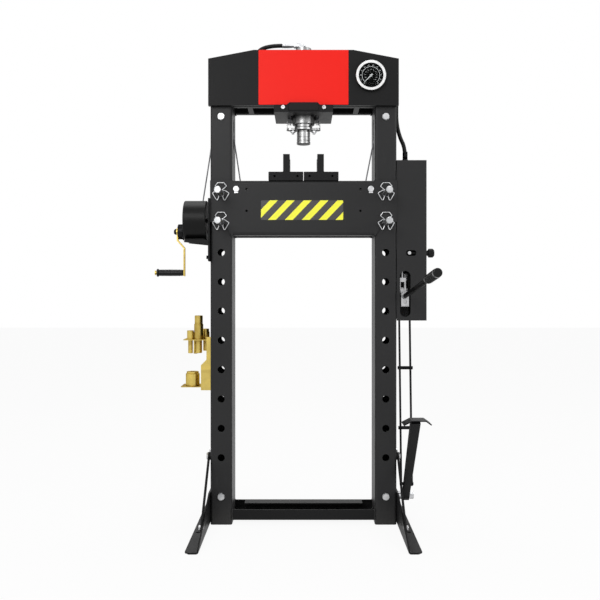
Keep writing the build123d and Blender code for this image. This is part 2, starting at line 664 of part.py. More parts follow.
rod_profile = outline([
    (0, ROD_LOW - 22), (13.0, ROD_LOW - 22), (13.0, ROD_LOW), (NECK_R, ROD_LOW), (NECK_R, ROD_LOW + 5),
    (ROD_R, ROD_LOW + 6), (ROD_R, PISTON_LOW), (PISTON_R, PISTON_LOW),
    (PISTON_R, PISTON_LOW + PISTON_H), (0, PISTON_LOW + PISTON_H),
])
save("ram_rod", revolve(Plane.XZ * rod_profile, axis=Axis.Z))

tip_profile = outline([
    (0, TIP_LOW), (TIP_R - 1.5, TIP_LOW), (TIP_R, TIP_LOW + 1.5), (TIP_R, TIP_LOW + 9),
    (TIP_R - 1.6, TIP_LOW + 10), (TIP_R - 1.6, TIP_LOW + 12.5), (TIP_R - 0.6, TIP_LOW + 13.5),
    (TIP_R - 0.6, TIP_LOW + 24), (TIP_R - 2.4, TIP_LOW + 25), (TIP_R - 2.4, TIP_LOW + 27.5),
    (TIP_R - 0.9, TIP_LOW + 28.5), (TIP_R - 0.9, ROD_LOW - 2), (TIP_R - 2.9, ROD_LOW),
    (13.05, ROD_LOW), (13.05, ROD_LOW - 22), (0, ROD_LOW - 22),
])
save("ram_tip", revolve(Plane.XZ * tip_profile, axis=Axis.Z))

yoke_top = YOKE_LOW + YOKE_T
yoke = along_z(SlotOverall(2 * YOKE_HALF, YOKE_W) + Circle(38.0), YOKE_LOW, yoke_top)
ear = outline([
    (YOKE_HALF - 3.4, YOKE_LOW), (YOKE_HALF, YOKE_LOW + 3), (YOKE_HALF - 1.5, YOKE_LOW + YOKE_EAR),
    (YOKE_HALF - 3.4, YOKE_LOW + YOKE_EAR),
])
for piece in both_sides(along_y(ear, -9.0, 9.0)):
    yoke += piece
yoke -= tube_z(ROD_R + 0.02, 0, 0, YOKE_LOW - 1, yoke_top + 1)
for x in (-YOKE_BOLT_X, YOKE_BOLT_X):
    yoke -= tube_z(5.1, x, 0, YOKE_LOW - 1, yoke_top + 1)
save("spring_yoke", yoke)

yoke_bolt = tube_z(5.0, YOKE_BOLT_X, 0, YOKE_LOW - YOKE_BOLT_DROP, YOKE_LOW + 3)
yoke_bolt += Pos(YOKE_BOLT_X, 0, YOKE_LOW - 8) * extrude(RegularPolygon(8.5, 6, major_radius=False), amount=8)
save("yoke_bolts", group(both_sides(yoke_bolt)))

spring_pitch = (SPRING_TOP - SPRING_LOW) / SPRING_TURNS
line = [(0, SPRING_LOW), (SPRING_R - 1.6, SPRING_LOW)]
for turn in range(SPRING_TURNS):
    z = SPRING_LOW + spring_pitch * turn
    line += [(SPRING_R, z + spring_pitch * 0.3), (SPRING_R, z + spring_pitch * 0.7)]
    line.append((SPRING_R - 1.6, z + spring_pitch))
line.append((0, SPRING_TOP))
spring = revolve(Plane.XZ * outline(line), axis=Axis.Z)
save("return_springs", group([Pos(-SPRING_X, 0, 0) * spring, Pos(SPRING_X, 0, 0) * spring]))

# Elbow on the cylinder cap, then a ferrule where the hose starts
elbow = block(-17.0, 1.0, -9.0, 9.0, CAP_TOP + 4, HOSE_TOP + 9)
elbow = chamfer(elbow.edges().filter_by(Axis.Y), 3.0)
elbow += Pos(-8.0, 0, CAP_TOP) * extrude(RegularPolygon(12.0, 6, major_radius=False), amount=5)
elbow_hex = extrude(RegularPolygon(9.5, 6, major_radius=False), amount=21)
elbow += Pos(-16.0, 0, HOSE_TOP) * Rot(0, -90, 0) * elbow_hex
elbow += tube_x(7.6, -46.0, -36.0, 0, HOSE_TOP)
elbow += tube_x(8.4, -82.0, -45.0, 0, HOSE_TOP)
elbow += tube_x(4.2, 0.5, 8.0, 0, HOSE_TOP)
save("hose_elbow", elbow)

loop_points = [
    (-82.0, 0, HOSE_TOP), (-148.0, 0, HOSE_TOP), (-190.0, 10, 1812.0), (-217.5, 28.3, HOSE_END_Z - 6.8),
]
loop, loop_length = hose(loop_points, [42.0, 55.0], HOSE_R)
parting_x = (-240.0, -190.0)
loop -= block(*parting_x, 0, 50, HOSE_END_Z - 30, HOSE_END_Z + HOSE_END_GAP)
save("hose_loop", loop)

hose_points = [
    (-210.9, 23.8, HOSE_END_Z + 6.3), (-232.0, 38.0, 1729.6), (-190.0, 62, 1712.0), (-90.0, 64, 1716.0),
    (40.0, 63, 1718.0), (180.0, 64, 1716.0), (300.0, 62, 1722.0), (366.0, 62, 1716.0),
    (371.0, 66, 1640.0), (369.0, 60, 1560.0), (378.0, 30, 1495.0), (PORT_X, 0, 1446.0),
    (PORT_X, 0, PBOX_TOP + 14),
]


def cord_radii(points, share, least):
    """Arc for each corner: a share of the shorter run over the tangent of half the turn."""
    out = []
    for a, b, c in zip(points, points[1:], points[2:]):
        u = Vector(*b) - Vector(*a)
        v = Vector(*c) - Vector(*b)
        half_turn = math.radians(u.get_angle(v)) / 2
        out.append(max(min(share * min(u.length, v.length) / math.tan(half_turn), 900.0), least))
    return out


fixed_hose, hose_length = hose(hose_points, cord_radii(hose_points, 0.45, 8.0), HOSE_R)
print("hose before parting", round(loop_length + hose_length), "mm")
fixed_hose -= block(*parting_x, 0, 50, HOSE_END_Z, HOSE_END_Z + 30)
save("pressure_hose", fixed_hose)
print("hose", round((loop.volume + fixed_hose.volume) / (math.pi * HOSE_R ** 2)), "mm")

# Gauge
gauge_front = -COVER_FRONT - GAUGE_OUT
case_profile = outline([
    (0, 0), (GAUGE_R - 4, 0), (GAUGE_R, -3), (GAUGE_R, -GAUGE_OUT + 3), (GAUGE_R - 3, -GAUGE_OUT),
    (GAUGE_FACE_R + 2, -GAUGE_OUT), (GAUGE_FACE_R, -GAUGE_OUT + 3), (GAUGE_FACE_R, -6), (0, -6),
])
case = revolve(case_profile, axis=Axis.Y)
case = Pos(GAUGE_X, -COVER_FRONT, GAUGE_Z) * case
case += tube_y(14.0, GAUGE_X, -COVER_FRONT, -beam_out - 1.0, GAUGE_Z)
save("gauge_case", case)
dial_y = -COVER_FRONT - 6.0
dial = tube_y(GAUGE_FACE_R - 0.1, GAUGE_X, dial_y - 1.5, dial_y, GAUGE_Z)
dial += tube_y(1.5, GAUGE_X, dial_y - 6.0, dial_y - 1.5, GAUGE_Z)
save("gauge_dial", dial)
needle_angle = 225.0
needle_shape = outline([(-9.0, -1.8), (0, -2.2), (36.0, -0.5), (36.0, 0.5), (0, 2.2), (-9.0, 1.8)])
needle_shape += Circle(4.5)
needle_shape = Rot(0, 0, needle_angle) * needle_shape
needle = Pos(GAUGE_X, 0, GAUGE_Z) * along_y(needle_shape, dial_y - 4.5, dial_y - 3.3)
needle -= tube_y(1.58, GAUGE_X, dial_y - 6, dial_y, GAUGE_Z)
save("gauge_needle", needle)
lens = tube_y(GAUGE_FACE_R - 0.1, GAUGE_X, gauge_front + 3.0, gauge_front + 5.0, GAUGE_Z)
save("gauge_lens", lens)

# Winch
pinion_z = DRUM_Z - math.sqrt((GEAR_MODULE * (GEAR_TEETH + PINION_TEETH) / 2) ** 2 - (PINION_Y - DRUM_Y) ** 2)
shelf_top = DRUM_Z - WCOVER_R - 0.2
bracket = block(-up_out - 6.0, -up_out, -100.0, 5.0, 1001.0, 1240.0)
bracket = fillet(bracket.edges().filter_by(Axis.X), 8.0)
shelf = outline([
    (-460.0, -40.0), (-446.0, -104.0), (-up_out, -104.0), (-up_out, 10.0), (-446.0, 10.0), (-460.0, -20.0),
])
bracket += along_z(shelf, shelf_top - 5.0, shelf_top)
gusset = outline([
    (-up_out - 5, shelf_top - 4), (-450.0, shelf_top - 4), (-446.0, shelf_top - 8),
    (-up_out - 5, shelf_top - 17),
])
for y in (-104.0, 5.0):
    bracket += along_y(gusset, y, y + 5.0)
for y, z in ((-85.0, 1016.0), (-10.0, 1016.0)):
    bracket -= tube_x(5.5, -up_out - 7, -up_out + 1, y, z)
bracket -= tube_x(10.0, -up_out - 7, -up_out + 1, DRUM_Y, DRUM_Z)
bracket -= tube_x(12.0, -up_out - 7, -up_out + 1, PINION_Y, pinion_z)
save("winch_bracket", bracket)

wcover = tube_x(WCOVER_R, WCOVER_OUT, WCOVER_IN, DRUM_Y, DRUM_Z)
wcover = fillet(wcover.edges().filter_by(GeomType.CIRCLE), 2.5)
saddle = block(WCOVER_OUT + 6, WCOVER_IN - 6, DRUM_Y - 28, DRUM_Y + 28, shelf_top, shelf_top + 12)
wcover += saddle
wcover -= tube_x(WCOVER_R - WCOVER_T, WCOVER_OUT + WCOVER_T, WCOVER_IN - WCOVER_T, DRUM_Y, DRUM_Z)
wcover -= block(-415.0, -388.0, -34.0, -2.0, DRUM_Z + 30, DRUM_Z + 90)
wcover -= tube_x(SHAFT_R + 0.06, WCOVER_OUT - 1, WCOVER_IN + 1, PINION_Y, pinion_z)
axle = tube_x(SHAFT_R, WCOVER_OUT - 4, WCOVER_IN + 4, DRUM_Y, DRUM_Z)
wcover += axle
save("winch_cover", wcover)


def gear_section(teeth, module, backlash):
    """Spur gear outline with straight-flanked teeth and a set backlash."""
    pitch_r = module * teeth / 2
    root = pitch_r - 1.25 * module
    tip = pitch_r + 0.9 * module
    half = math.pi / teeth / 2 - backlash / pitch_r / 2
    points = []
    for n in range(teeth):
        mid_angle = 2 * math.pi * n / teeth
        flank = ((root, -1.55), (pitch_r, -1.0), (tip, -0.45), (tip, 0.45), (pitch_r, 1.0), (root, 1.55))
        for radius, share in flank:
            angle = mid_angle + share * half
            points.append((radius * math.cos(angle), radius * math.sin(angle)))
    return outline(points)


gear_x = (-392.0 + 12.0, -374.0)
mesh_angle = math.degrees(math.atan2(pinion_z - DRUM_Z, PINION_Y - DRUM_Y))
wheel_face = Rot(0, 0, mesh_angle) * gear_section(GEAR_TEETH, GEAR_MODULE, GEAR_BACKLASH)
drum = Pos(0, DRUM_Y, DRUM_Z) * along_x(wheel_face, *gear_x)
drum += tube_x(DRUM_R, -440.0, gear_x[0], DRUM_Y, DRUM_Z)
drum += tube_x(40.5, -443.0, -440.0, DRUM_Y, DRUM_Z)
drum -= tube_x(SHAFT_R + 0.05, -445.0, -373.0, DRUM_Y, DRUM_Z)
save("winch_drum", drum)

coil_x0 = -438.5
coil_pitch = 5.6
coil_line = [(coil_x0, DRUM_R)]
for turn in range(6):
    x = coil_x0 + coil_pitch * turn
    coil_line += [(x + 1.4, DRUM_R + 5.0), (x + 4.2, DRUM_R + 5.0), (x + coil_pitch, DRUM_R + 2.6)]
coil_line.append((coil_line[-1][0], DRUM_R))
save("wound_cable", Pos(0, DRUM_Y, DRUM_Z) * revolve(outline(coil_line), axis=Axis.X))

pinion_turn = mesh_angle + 180.0 + 180.0 / PINION_TEETH
pinion_face = Rot(0, 0, pinion_turn) * gear_section(PINION_TEETH, GEAR_MODULE, GEAR_BACKLASH)
pinion = Pos(0, PINION_Y, pinion_z) * along_x(pinion_face, gear_x[0] - 2, gear_x[1] + 1)
pinion += tube_x(SHAFT_R, -500.0, gear_x[1] + 8, PINION_Y, pinion_z)
hub = tube_x(HUB_R, -484.0, -461.0, PINION_Y, pinion_z)
hub = fillet(hub.edges().filter_by(GeomType.CIRCLE), 3.0)
pinion += hub
pinion += tube_x(12.0, -461.0, WCOVER_OUT - 0.3, PINION_Y, pinion_z)
crank_nut = extrude(RegularPolygon(9.5, 6, major_radius=False), amount=8)
pinion += Pos(-497.5, PINION_Y, pinion_z) * Rot(0, 90, 0) * crank_nut
save("pinion_shaft", pinion)

# Crank arm: flat bar from the hub, joggled in towards the cover
grip_z = pinion_z - CRANK_LEN
arm_line = [(-489.3, pinion_z + 12), (-489.3, pinion_z - 34), (-463.0, pinion_z - 64), (-463.0, grip_z - 13)]
inner_line = inset_line(arm_line, CRANK_T)
arm_face = outline(arm_line + inner_line[::-1])
arm = along_y(arm_face, PINION_Y - CRANK_W / 2, PINION_Y + CRANK_W / 2)
hub_hole = tube_x(SHAFT_R + 0.02, -495.0, -480.0, PINION_Y, pinion_z)
arm_top = tube_x(15.0, -489.3, -484.3, PINION_Y, pinion_z)
arm = (arm + arm_top) - hub_hole
grip_pin = tube_x(5.0, -463.0 - GRIP_LEN - 4, -459.0, PINION_Y, grip_z)
grip_pin += tube_x(9.0, -463.0 - GRIP_LEN - 7, -463.0 - GRIP_LEN - 4, PINION_Y, grip_z)
arm += grip_pin
save("crank_arm", arm)

grip_profile = outline([
    (5.05, 0), (GRIP_R - 1.5, 0), (GRIP_R - 0.6, 6), (GRIP_R, GRIP_LEN * 0.5),
    (GRIP_R - 0.6, GRIP_LEN - 10), (GRIP_R + 2.6, GRIP_LEN - 7), (GRIP_R + 2.6, GRIP_LEN - 2),
    (GRIP_R, GRIP_LEN - 0.5), (5.05, GRIP_LEN - 0.5),
])
grip = revolve(Plane(origin=(0, 0, 0), x_dir=(0, 0, 1), z_dir=(0, -1, 0)) * grip_profile, axis=Axis.X)
grip_solid = Pos(-463.4, PINION_Y, grip_z) * grip
save("crank_grip", grip_solid)

# Lift cable and its sheaves
slope_l = 31.1 / 208.1


def lift_left(z):
    return -279.0 + (1535.0 - z) * slope_l


slope_r = 35.5 / 183.0


def lift_right(z):
    return 279.5 - (1504.0 - z) * slope_r


slope_w = 0.144


def winch_run(z):
    return -389.0 + (z - 1243.0) * slope_w


under_z = BED_SHEAVE_Z - BED_SHEAVE_PITCH_R
left_top = SHEAVE_Z + SHEAVE_PITCH_R
right_top = SHEAVE_Z + 23.9
cable_points = [
    (winch_run(DRUM_Z), DRUM_Y + DRUM_R + 3.2, DRUM_Z), (winch_run(1400.0), 0, 1400.0),
    (winch_run(left_top), 0, left_top), (lift_left(left_top), 0, left_top),
    (lift_left(under_z), 0, under_z), (lift_right(under_z), 0, under_z),
    (lift_right(right_top), 0, right_top), (337.0, 0, right_top), (337.0, 0, 1500.0),
]


def tangent_radius(a, b, c, target):
    """Largest arc that fits at corner b, no larger than the sheave's."""
    u = Vector(*b) - Vector(*a)
    v = Vector(*c) - Vector(*b)
    half_turn = math.radians(u.get_angle(v)) / 2
    return min(target, 0.49 * min(u.length, v.length) / math.tan(half_turn))


targets = [400.0, SHEAVE_PITCH_R, SHEAVE_PITCH_R, BED_SHEAVE_PITCH_R, BED_SHEAVE_PITCH_R, 23.0, 23.0]
cable_radii = []
for a, b, c, target in zip(cable_points, cable_points[1:], cable_points[2:], targets):
    cable_radii.append(tangent_radius(a, b, c, target))
cable, cable_length = hose(cable_points, cable_radii, ROPE_R)
save("lift_cable", cable)
print("lift cable", round(cable_length), "mm, volumes", round(cable.volume),
      round(math.pi * ROPE_R ** 2 * cable_length))
print("arcs", [round(r, 1) for r in cable_radii], [round(r, 1) for r in cord_radii(hose_points, 0.45, 8.0)])


def sheave(x, z, pitch_r, width):
    """Grooved wheel on its own axle between the front and back walls."""
    edge = pitch_r + 3.0
    groove = pitch_r - ROPE_R - 0.15
    profile = outline([
        (5.0, -width / 2), (edge, -width / 2), (edge, -width / 2 + 1.5), (groove, -2.0), (groove, 2.0),
        (edge, width / 2 - 1.5), (edge, width / 2), (5.0, width / 2),
    ])
    wheel = revolve(profile, axis=Axis.Y)
    return Pos(x, 0, z) * wheel


bed_left = lift_left(BED_SHEAVE_Z) + BED_SHEAVE_PITCH_R
bed_right = lift_right(BED_SHEAVE_Z) - BED_SHEAVE_PITCH_R
axle_end = half_d - BOLT_SHANK
wheels = [sheave(-UP_X, SHEAVE_Z, SHEAVE_PITCH_R - 1.45, 12.0), sheave(UP_X, SHEAVE_Z, 22.6, 12.0)]
wheels += [tube_y(4.95, x, -axle_end, axle_end, SHEAVE_Z) for x in (-UP_X, UP_X)]
for x in (bed_left, bed_right):
    wheels.append(sheave(x, BED_SHEAVE_Z, BED_SHEAVE_PITCH_R - 0.6, 12.0))
    wheels.append(tube_y(4.95, x, -half_d, half_d, BED_SHEAVE_Z))
save("cable_sheaves", group(wheels))

# Tool rack and punches
shelf_z = RACK_SHELF_Z
rack = block(-up_out - 3.0, -up_out, -50.0, 50.0, RACK_LOW, RACK_TOP)
flange_face = outline([
    (-up_out, RACK_TOP), (-372.0, RACK_TOP), (-372.0, 625.0), (-393.0, 604.0), (-393.0, RACK_LOW),
    (-up_out, RACK_LOW),
])
rack += along_y(flange_face, -52.0, -49.0)
upper = block(-462.0, -up_out, -50.0, 45.0, shelf_z - RACK_T, shelf_z)
upper = fillet(upper.edges().filter_by(Axis.Z).sort_by(Axis.X)[:2], 9.0)
lower = block(-471.0, -up_out, -52.0, 40.0, RACK_TRAY_Z - RACK_T, RACK_TRAY_Z)
lower = fillet(lower.edges().filter_by(Axis.Z).sort_by(Axis.X)[:2], 9.0)
lower -= tube_z(4.0, -446.0, -44.0, RACK_TRAY_Z - 5, RACK_TRAY_Z + 1)
rack += upper + lower
# Each punch: place, shank radius and length under the shelf, collar radius, step height, top
punches = (
    (-406.5, -14.0, 13.0, 54.0, 17.5, 58.0, 15.4, 91.0),
    (-438.5, -14.0, 9.0, 55.0, 13.0, 32.0, 13.0, 33.0),
    (-383.0, 22.0, 11.0, 48.0, 14.0, 26.0, 12.0, 38.0),
    (-424.0, 24.0, 7.5, 60.0, 10.5, 18.0, 9.0, 24.0),
)
punch_solids = []
for x, y, shank_r, shank_len, collar_r, step, top_r, top in punches:
    rack -= tube_z(shank_r + 0.5, x, y, shelf_z - RACK_T - 1, shelf_z + 1)
    profile = outline([
        (0, -shank_len), (shank_r - 1.2, -shank_len), (shank_r, -shank_len + 1.2), (shank_r, 0),
        (collar_r, 0), (collar_r, step), (top_r, step + 0.5), (top_r, top - 1), (top_r - 1, top), (0, top),
    ])
    punch_solids.append(Pos(x, y, shelf_z) * revolve(Plane.XZ * profile, axis=Axis.Z))
save("tool_rack", rack)
die_profile = outline([
    (9.0, 0), (25.5, 0), (26.5, 1), (26.5, 46.0), (23.0, 48.0), (23.0, 54.0), (9.0, 54.0),
])
punch_solids.append(Pos(-430.0, -12.0, RACK_TRAY_Z) * revolve(Plane.XZ * die_profile, axis=Axis.Z))
save("press_punches", group(punch_solids))

# Pump box
pbox = block(up_out, PBOX_OUT, -PBOX_HALF, PBOX_HALF, PBOX_LOW, PBOX_TOP)
pbox = fillet(pbox.edges().filter_by(Axis.Z).sort_by(Axis.X)[-2:], 4.0)
pbox_in = PBOX_HALF - PBOX_T
pbox -= block(up_out - 1, PBOX_OUT - PBOX_T, -pbox_in, pbox_in, PBOX_LOW - 1, PBOX_TOP - PBOX_T)
lever_slot = Rot(0, 0, 90) * SlotOverall(SLOT_HIGH - SLOT_LOW, SLOT_W)
lever_slot = Pos(SLOT_X, (SLOT_LOW + SLOT_HIGH) / 2) * lever_slot
pbox -= along_y(lever_slot, -PBOX_HALF - 1, -PBOX_HALF + PBOX_T + 1)
valve_slot = SlotOverall(VALVE_SLOT_OUT - VALVE_SLOT_IN, 22.0)
valve_slot = Pos((VALVE_SLOT_IN + VALVE_SLOT_OUT) / 2, VALVE_Z) * valve_slot
pbox -= along_y(valve_slot, -PBOX_HALF - 1, -PBOX_HALF + PBOX_T + 1)
pbox -= tube_x(VALVE_ROD_R + PLUNGER_GAP, PBOX_OUT - PBOX_T - 1, PBOX_OUT + 1, VALVE_Y, VALVE_Z)
pbox -= tube_z(PORT_R + 0.5, PORT_X, 0, PBOX_TOP - PBOX_T - 1, PBOX_TOP + 1)
save("pump_box", pbox)

# Pump casting: body with two plunger bores, tank above, outlet pipe and two hanging lugs
pump = block(up_out, 436.0, PUMP_FRONT, 62.0, PUMP_LOW, 1180.0)
pump = fillet(pump.edges().filter_by(Axis.Z).sort_by(Axis.X)[-2:], 8.0)
tank = block(up_out, 446.0, -52.0, 58.0, 1180.0, 1300.0)
tank = fillet(tank.edges().filter_by(Axis.Z).sort_by(Axis.X)[-2:], 20.0)
pump += tank
pump += tube_z(PORT_R - 2.0, PORT_X, 0, 1300.0, PBOX_TOP + 4)
pump += Pos(PORT_X, 0, PBOX_TOP) * extrude(RegularPolygon(PORT_R, 6, major_radius=False), amount=14.0)
pump += tube_z(PORT_R - 0.5, PORT_X, 0, PBOX_TOP - PBOX_T, PBOX_TOP + 1)
pump += tube_z(15.0, HPL_X, LEVER_PIN_Y, PUMP_LOW - 12, PUMP_LOW)
pump += tube_z(15.0, FPL_X, FPL_Y, PUMP_LOW - 12, PUMP_LOW)
pump -= tube_z(HPL_R + PLUNGER_GAP, HPL_X, LEVER_PIN_Y, PUMP_LOW - 13, PUMP_LOW + 90)
pump -= tube_z(FPL_R + PLUNGER_GAP, FPL_X, FPL_Y, PUMP_LOW - 13, PUMP_LOW + 90)
for x0 in (PIVOT_LUG_X[0], PIVOT_LUG_X[1] - PIVOT_LUG_T):
    lug = outline([
        (LEVER_Y - 12, LEVER_Z), (LEVER_Y + 12, LEVER_Z), (LEVER_Y + 14, PUMP_LOW + 1),
        (LEVER_Y - 16, PUMP_LOW + 1),
    ])
    lug += Pos(LEVER_Y, LEVER_Z) * Circle(12.0)
    lug -= Pos(LEVER_Y, LEVER_Z) * Circle(PIVOT_R + PLUNGER_GAP)
    pump += along_x(lug, x0, x0 + PIVOT_LUG_T)
pump += tube_x(9.0, 368.0, 397.6, VALVE_Y, VALVE_Z)
pump += block(368.0, 397.6, VALVE_Y, PUMP_FRONT, VALVE_Z - 9, VALVE_Z + 9)
save("pump_body", pump)

# Lever casting: pivot boss, drive lug and the socket block that shows in the slot
web = outline([
    (-56.0, LEVER_Z - 54), (-54.0, LEVER_Z - 16), (LEVER_PIN_Y - 3, LEVER_Z + 9), (LEVER_Y, LEVER_Z + 9),
    (LEVER_Y + 4, LEVER_Z - 9), (LEVER_Y - 10, LEVER_Z - 20), (-40.0, LEVER_Z - 56),
])
clevis = along_x(web, HPL_X - LUG_T / 2, HPL_X + LUG_T / 2)
boss_x0 = PIVOT_LUG_X[0] + PIVOT_LUG_T + 0.5
boss_x1 = PIVOT_LUG_X[1] - PIVOT_LUG_T - 0.5
clevis += tube_x(11.0, boss_x0, boss_x1, LEVER_Y, LEVER_Z)
clevis += tube_x(PIVOT_R, PIVOT_LUG_X[0] + 0.5, PIVOT_LUG_X[1] + 2, LEVER_Y, LEVER_Z)
clevis += tube_x(DRIVE_R, HPL_X - 13.0, HPL_X + 13.0, LEVER_PIN_Y, LEVER_Z)
socket_side = outline([
    (-71.0, LEVER_Z - 64), (-71.0, LEVER_Z - 8), (-62.0, LEVER_Z - 8), (-52.0, LEVER_Z - 22),
    (-48.0, LEVER_Z - 64),
])
socket = along_x(socket_side, LEVER_X - 16.5, LEVER_X + 16.5)
socket = chamfer(socket.faces().sort_by(Axis.Y)[0].edges(), 2.0)
socket -= block(LEVER_X - 6, LEVER_X + 6, -72.0, -60.0, LEVER_Z - 52, LEVER_Z - 40)
clevis += socket
lever_root = (LEVER_X, -48.0, 867.0)
rise = math.radians(LEVER_RISE)
lever_dir = (0, -math.cos(rise), math.sin(rise))
root_plane = Plane(origin=lever_root, z_dir=lever_dir)
clevis += extrude(root_plane.offset(2.5) * Circle(LEVER_R + 4), amount=31.5)
clevis -= extrude(root_plane * Circle(LEVER_R + PLUNGER_GAP), amount=60.0)
save("lever_clevis", clevis)
lever_len = (LEVER_REACH - 48.0) / math.cos(rise)
lever_tube = extrude(root_plane * Circle(LEVER_R), amount=lever_len)
lever_tube -= extrude(root_plane.offset(40.0) * Circle(LEVER_R - 2.5), amount=lever_len)
save("lever_tube", lever_tube)
grip_plane = root_plane.offset(lever_len - LEVER_GRIP + 6)
lever_grip = extrude(grip_plane * Circle(LEVER_GRIP_R), amount=LEVER_GRIP)
lever_grip = fillet(lever_grip.edges().filter_by(GeomType.CIRCLE), 4.0)
lever_grip -= extrude(grip_plane.offset(-1.0) * Circle(LEVER_R), amount=LEVER_GRIP - 5)
save("lever_grip", lever_grip)

# Hand plunger with an open fork over the drive lug; the fork slots let the pin swing
fork_top = LEVER_Z + 46.0
fork = outline([
    (-46.0, LEVER_Z - 12), (-16.0, LEVER_Z - 12), (-16.0, LEVER_Z + 24), (-27.0, fork_top),
    (-45.0, fork_top), (-46.0, LEVER_Z + 30),
])
fork -= Pos((LEVER_PIN_Y - 27.0) / 2, LEVER_Z) * SlotOverall(24.4, 2 * (DRIVE_R + 1.5))
hand = along_x(fork, HPL_X - 13.0, HPL_X + 13.0)
hand -= block(HPL_X - LUG_T / 2 - 1.0, HPL_X + LUG_T / 2 + 1.0, -50.0, -10.0, LEVER_Z - 14, LEVER_Z + 30)
hand += tube_z(HPL_R, HPL_X, LEVER_PIN_Y, fork_top - 4, PUMP_LOW + 60)
save("hand_plunger", hand)

rod = tube_x(VALVE_ROD_R, 398.0, PBOX_OUT + 3, VALVE_Y, VALVE_Z)
knob_profile = outline([
    (0, 0), (0, 9.0), (5.0, 11.0), (8.0, KNOB_R), (24.0, KNOB_R), (29.0, KNOB_R - 5.0), (30.0, 0),
])
knob = revolve(knob_profile, axis=Axis.X)
rod += Pos(PBOX_OUT + 1, VALVE_Y, VALVE_Z) * knob
rod += tube_y(4.0, VALVE_SCREW_X, -PBOX_HALF - 1, VALVE_Y, VALVE_Z)
rod += tube_y(8.2, VALVE_SCREW_X, -PBOX_HALF - 3.5, -PBOX_HALF + 0.5, VALVE_Z)
save("release_rod", rod)

# Foot pedal
swing = math.radians(PEDAL_ANGLE)
along = (0, -math.cos(swing), math.sin(swing))
over = (0, -math.sin(swing), -math.cos(swing))
arm_plane = Plane(origin=(PEDAL_X, 0, PEDAL_Z), x_dir=along, z_dir=over)
lever_face = outline([(-14.0, -12.5), (PEDAL_LEN, -17.0), (PEDAL_LEN, 17.0), (-14.0, 12.5)])
lever_hollow = outline([(-20.0, -9.5), (PEDAL_LEN - 12, -14.0), (PEDAL_LEN - 12, 14.0), (-20.0, 9.5)])
arm = extrude(arm_plane.offset(-14.0) * lever_face, amount=28.0)
arm -= extrude(arm_plane.offset(-15.0) * lever_hollow, amount=26.0)
arm += tube_x(16.0, PEDAL_X - 12.5, PEDAL_X + 12.5, 0, PEDAL_Z)
pin_y = -LINK_PIN_S * math.cos(swing)
pin_z = PEDAL_Z + LINK_PIN_S * math.sin(swing)
arm += tube_x(LINK_PIN_R, LINK_X[0] - 5.5, LINK_X[1] + 5.5, pin_y, pin_z)
arm -= tube_x(AXLE_R + 0.06, PEDAL_X - 20, PEDAL_X + 20, 0, PEDAL_Z)
tread_y = -PEDAL_LEN * math.cos(swing)
tread_z = PEDAL_Z + PEDAL_LEN * math.sin(swing) + 2.0
tread_line = [(452.0, -14.0), (432.0, 0.0), (382.0, 0.0), (352.0, -15.0)]
tread_face = folded(tread_line, 4.0, 2.0)
tread_at = Plane(origin=(0, tread_y + 34.0, tread_z + 4.0), x_dir=(1, 0, 0), z_dir=(0, -1, 0))
tread = extrude(tread_at * tread_face, amount=66.0)
arm -= block(PEDAL_X - 40, PEDAL_X + 40, tread_y - 60, tread_y + 60, tread_z + 1, tread_z + 40)
save("foot_pedal", arm + tread)
axle = tube_x(AXLE_R, up_out, 428.0, 0, PEDAL_Z)
axle += tube_x(14.0, 411.4, 414.4, 0, PEDAL_Z)
axle_nut = extrude(RegularPolygon(13.0, 6, major_radius=False), amount=14.0)
axle += Pos(414.4, 0, PEDAL_Z) * Rot(0, 90, 0) * axle_nut
axle += tube_x(15.0, up_out + FOOT_T, 385.2, 0, PEDAL_Z)
save("pedal_axle", axle)

# Two flat link bars with tie tubes, from the pedal up to the foot plunger
link_run = math.dist((pin_y, pin_z), (FPL_Y, LINK_TOP_Z))
link_tilt = math.degrees(math.atan2(LINK_TOP_Z - pin_z, FPL_Y - pin_y))
link_mid = ((pin_y + FPL_Y) / 2, (pin_z + LINK_TOP_Z) / 2)
bar_face = SlotOverall(link_run + LINK_W, LINK_W) - Pos(-link_run / 2, 0) * Circle(LINK_PIN_R + 0.06)
bar_face = Pos(*link_mid) * Rot(0, 0, link_tilt) * bar_face
links = None
for x in LINK_X:
    bar = along_x(bar_face, x - LINK_T / 2, x + LINK_T / 2)
    links = bar if links is None else links + bar
for share in (0.265, 0.553):
    y = pin_y + (FPL_Y - pin_y) * share
    z = pin_z + (LINK_TOP_Z - pin_z) * share
    links += tube_x(6.5, LINK_X[0] - LINK_T / 2 - 5, LINK_X[1] + LINK_T / 2 + 6, y, z)
links += tube_x(FOOT_DRIVE_R, LINK_X[0], LINK_X[1], FPL_Y, LINK_TOP_Z)
save("pedal_links", links)

eye = Pos(FPL_Y, LINK_TOP_Z) * RectangleRounded(34.0, 32.0, 6.0)
eye -= Pos(FPL_Y, LINK_TOP_Z) * SlotOverall(2 * FOOT_DRIVE_R + 6.5, 2 * FOOT_DRIVE_R + 3.0)
foot_plunger = along_x(eye, FPL_X - 10, FPL_X + 10)
foot_plunger += tube_z(FPL_R, FPL_X, FPL_Y, LINK_TOP_Z + 15, PUMP_LOW + 60)
save("foot_plunger", foot_plunger)
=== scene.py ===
import math

import bmesh
import bpy
from mathutils import Matrix, Vector


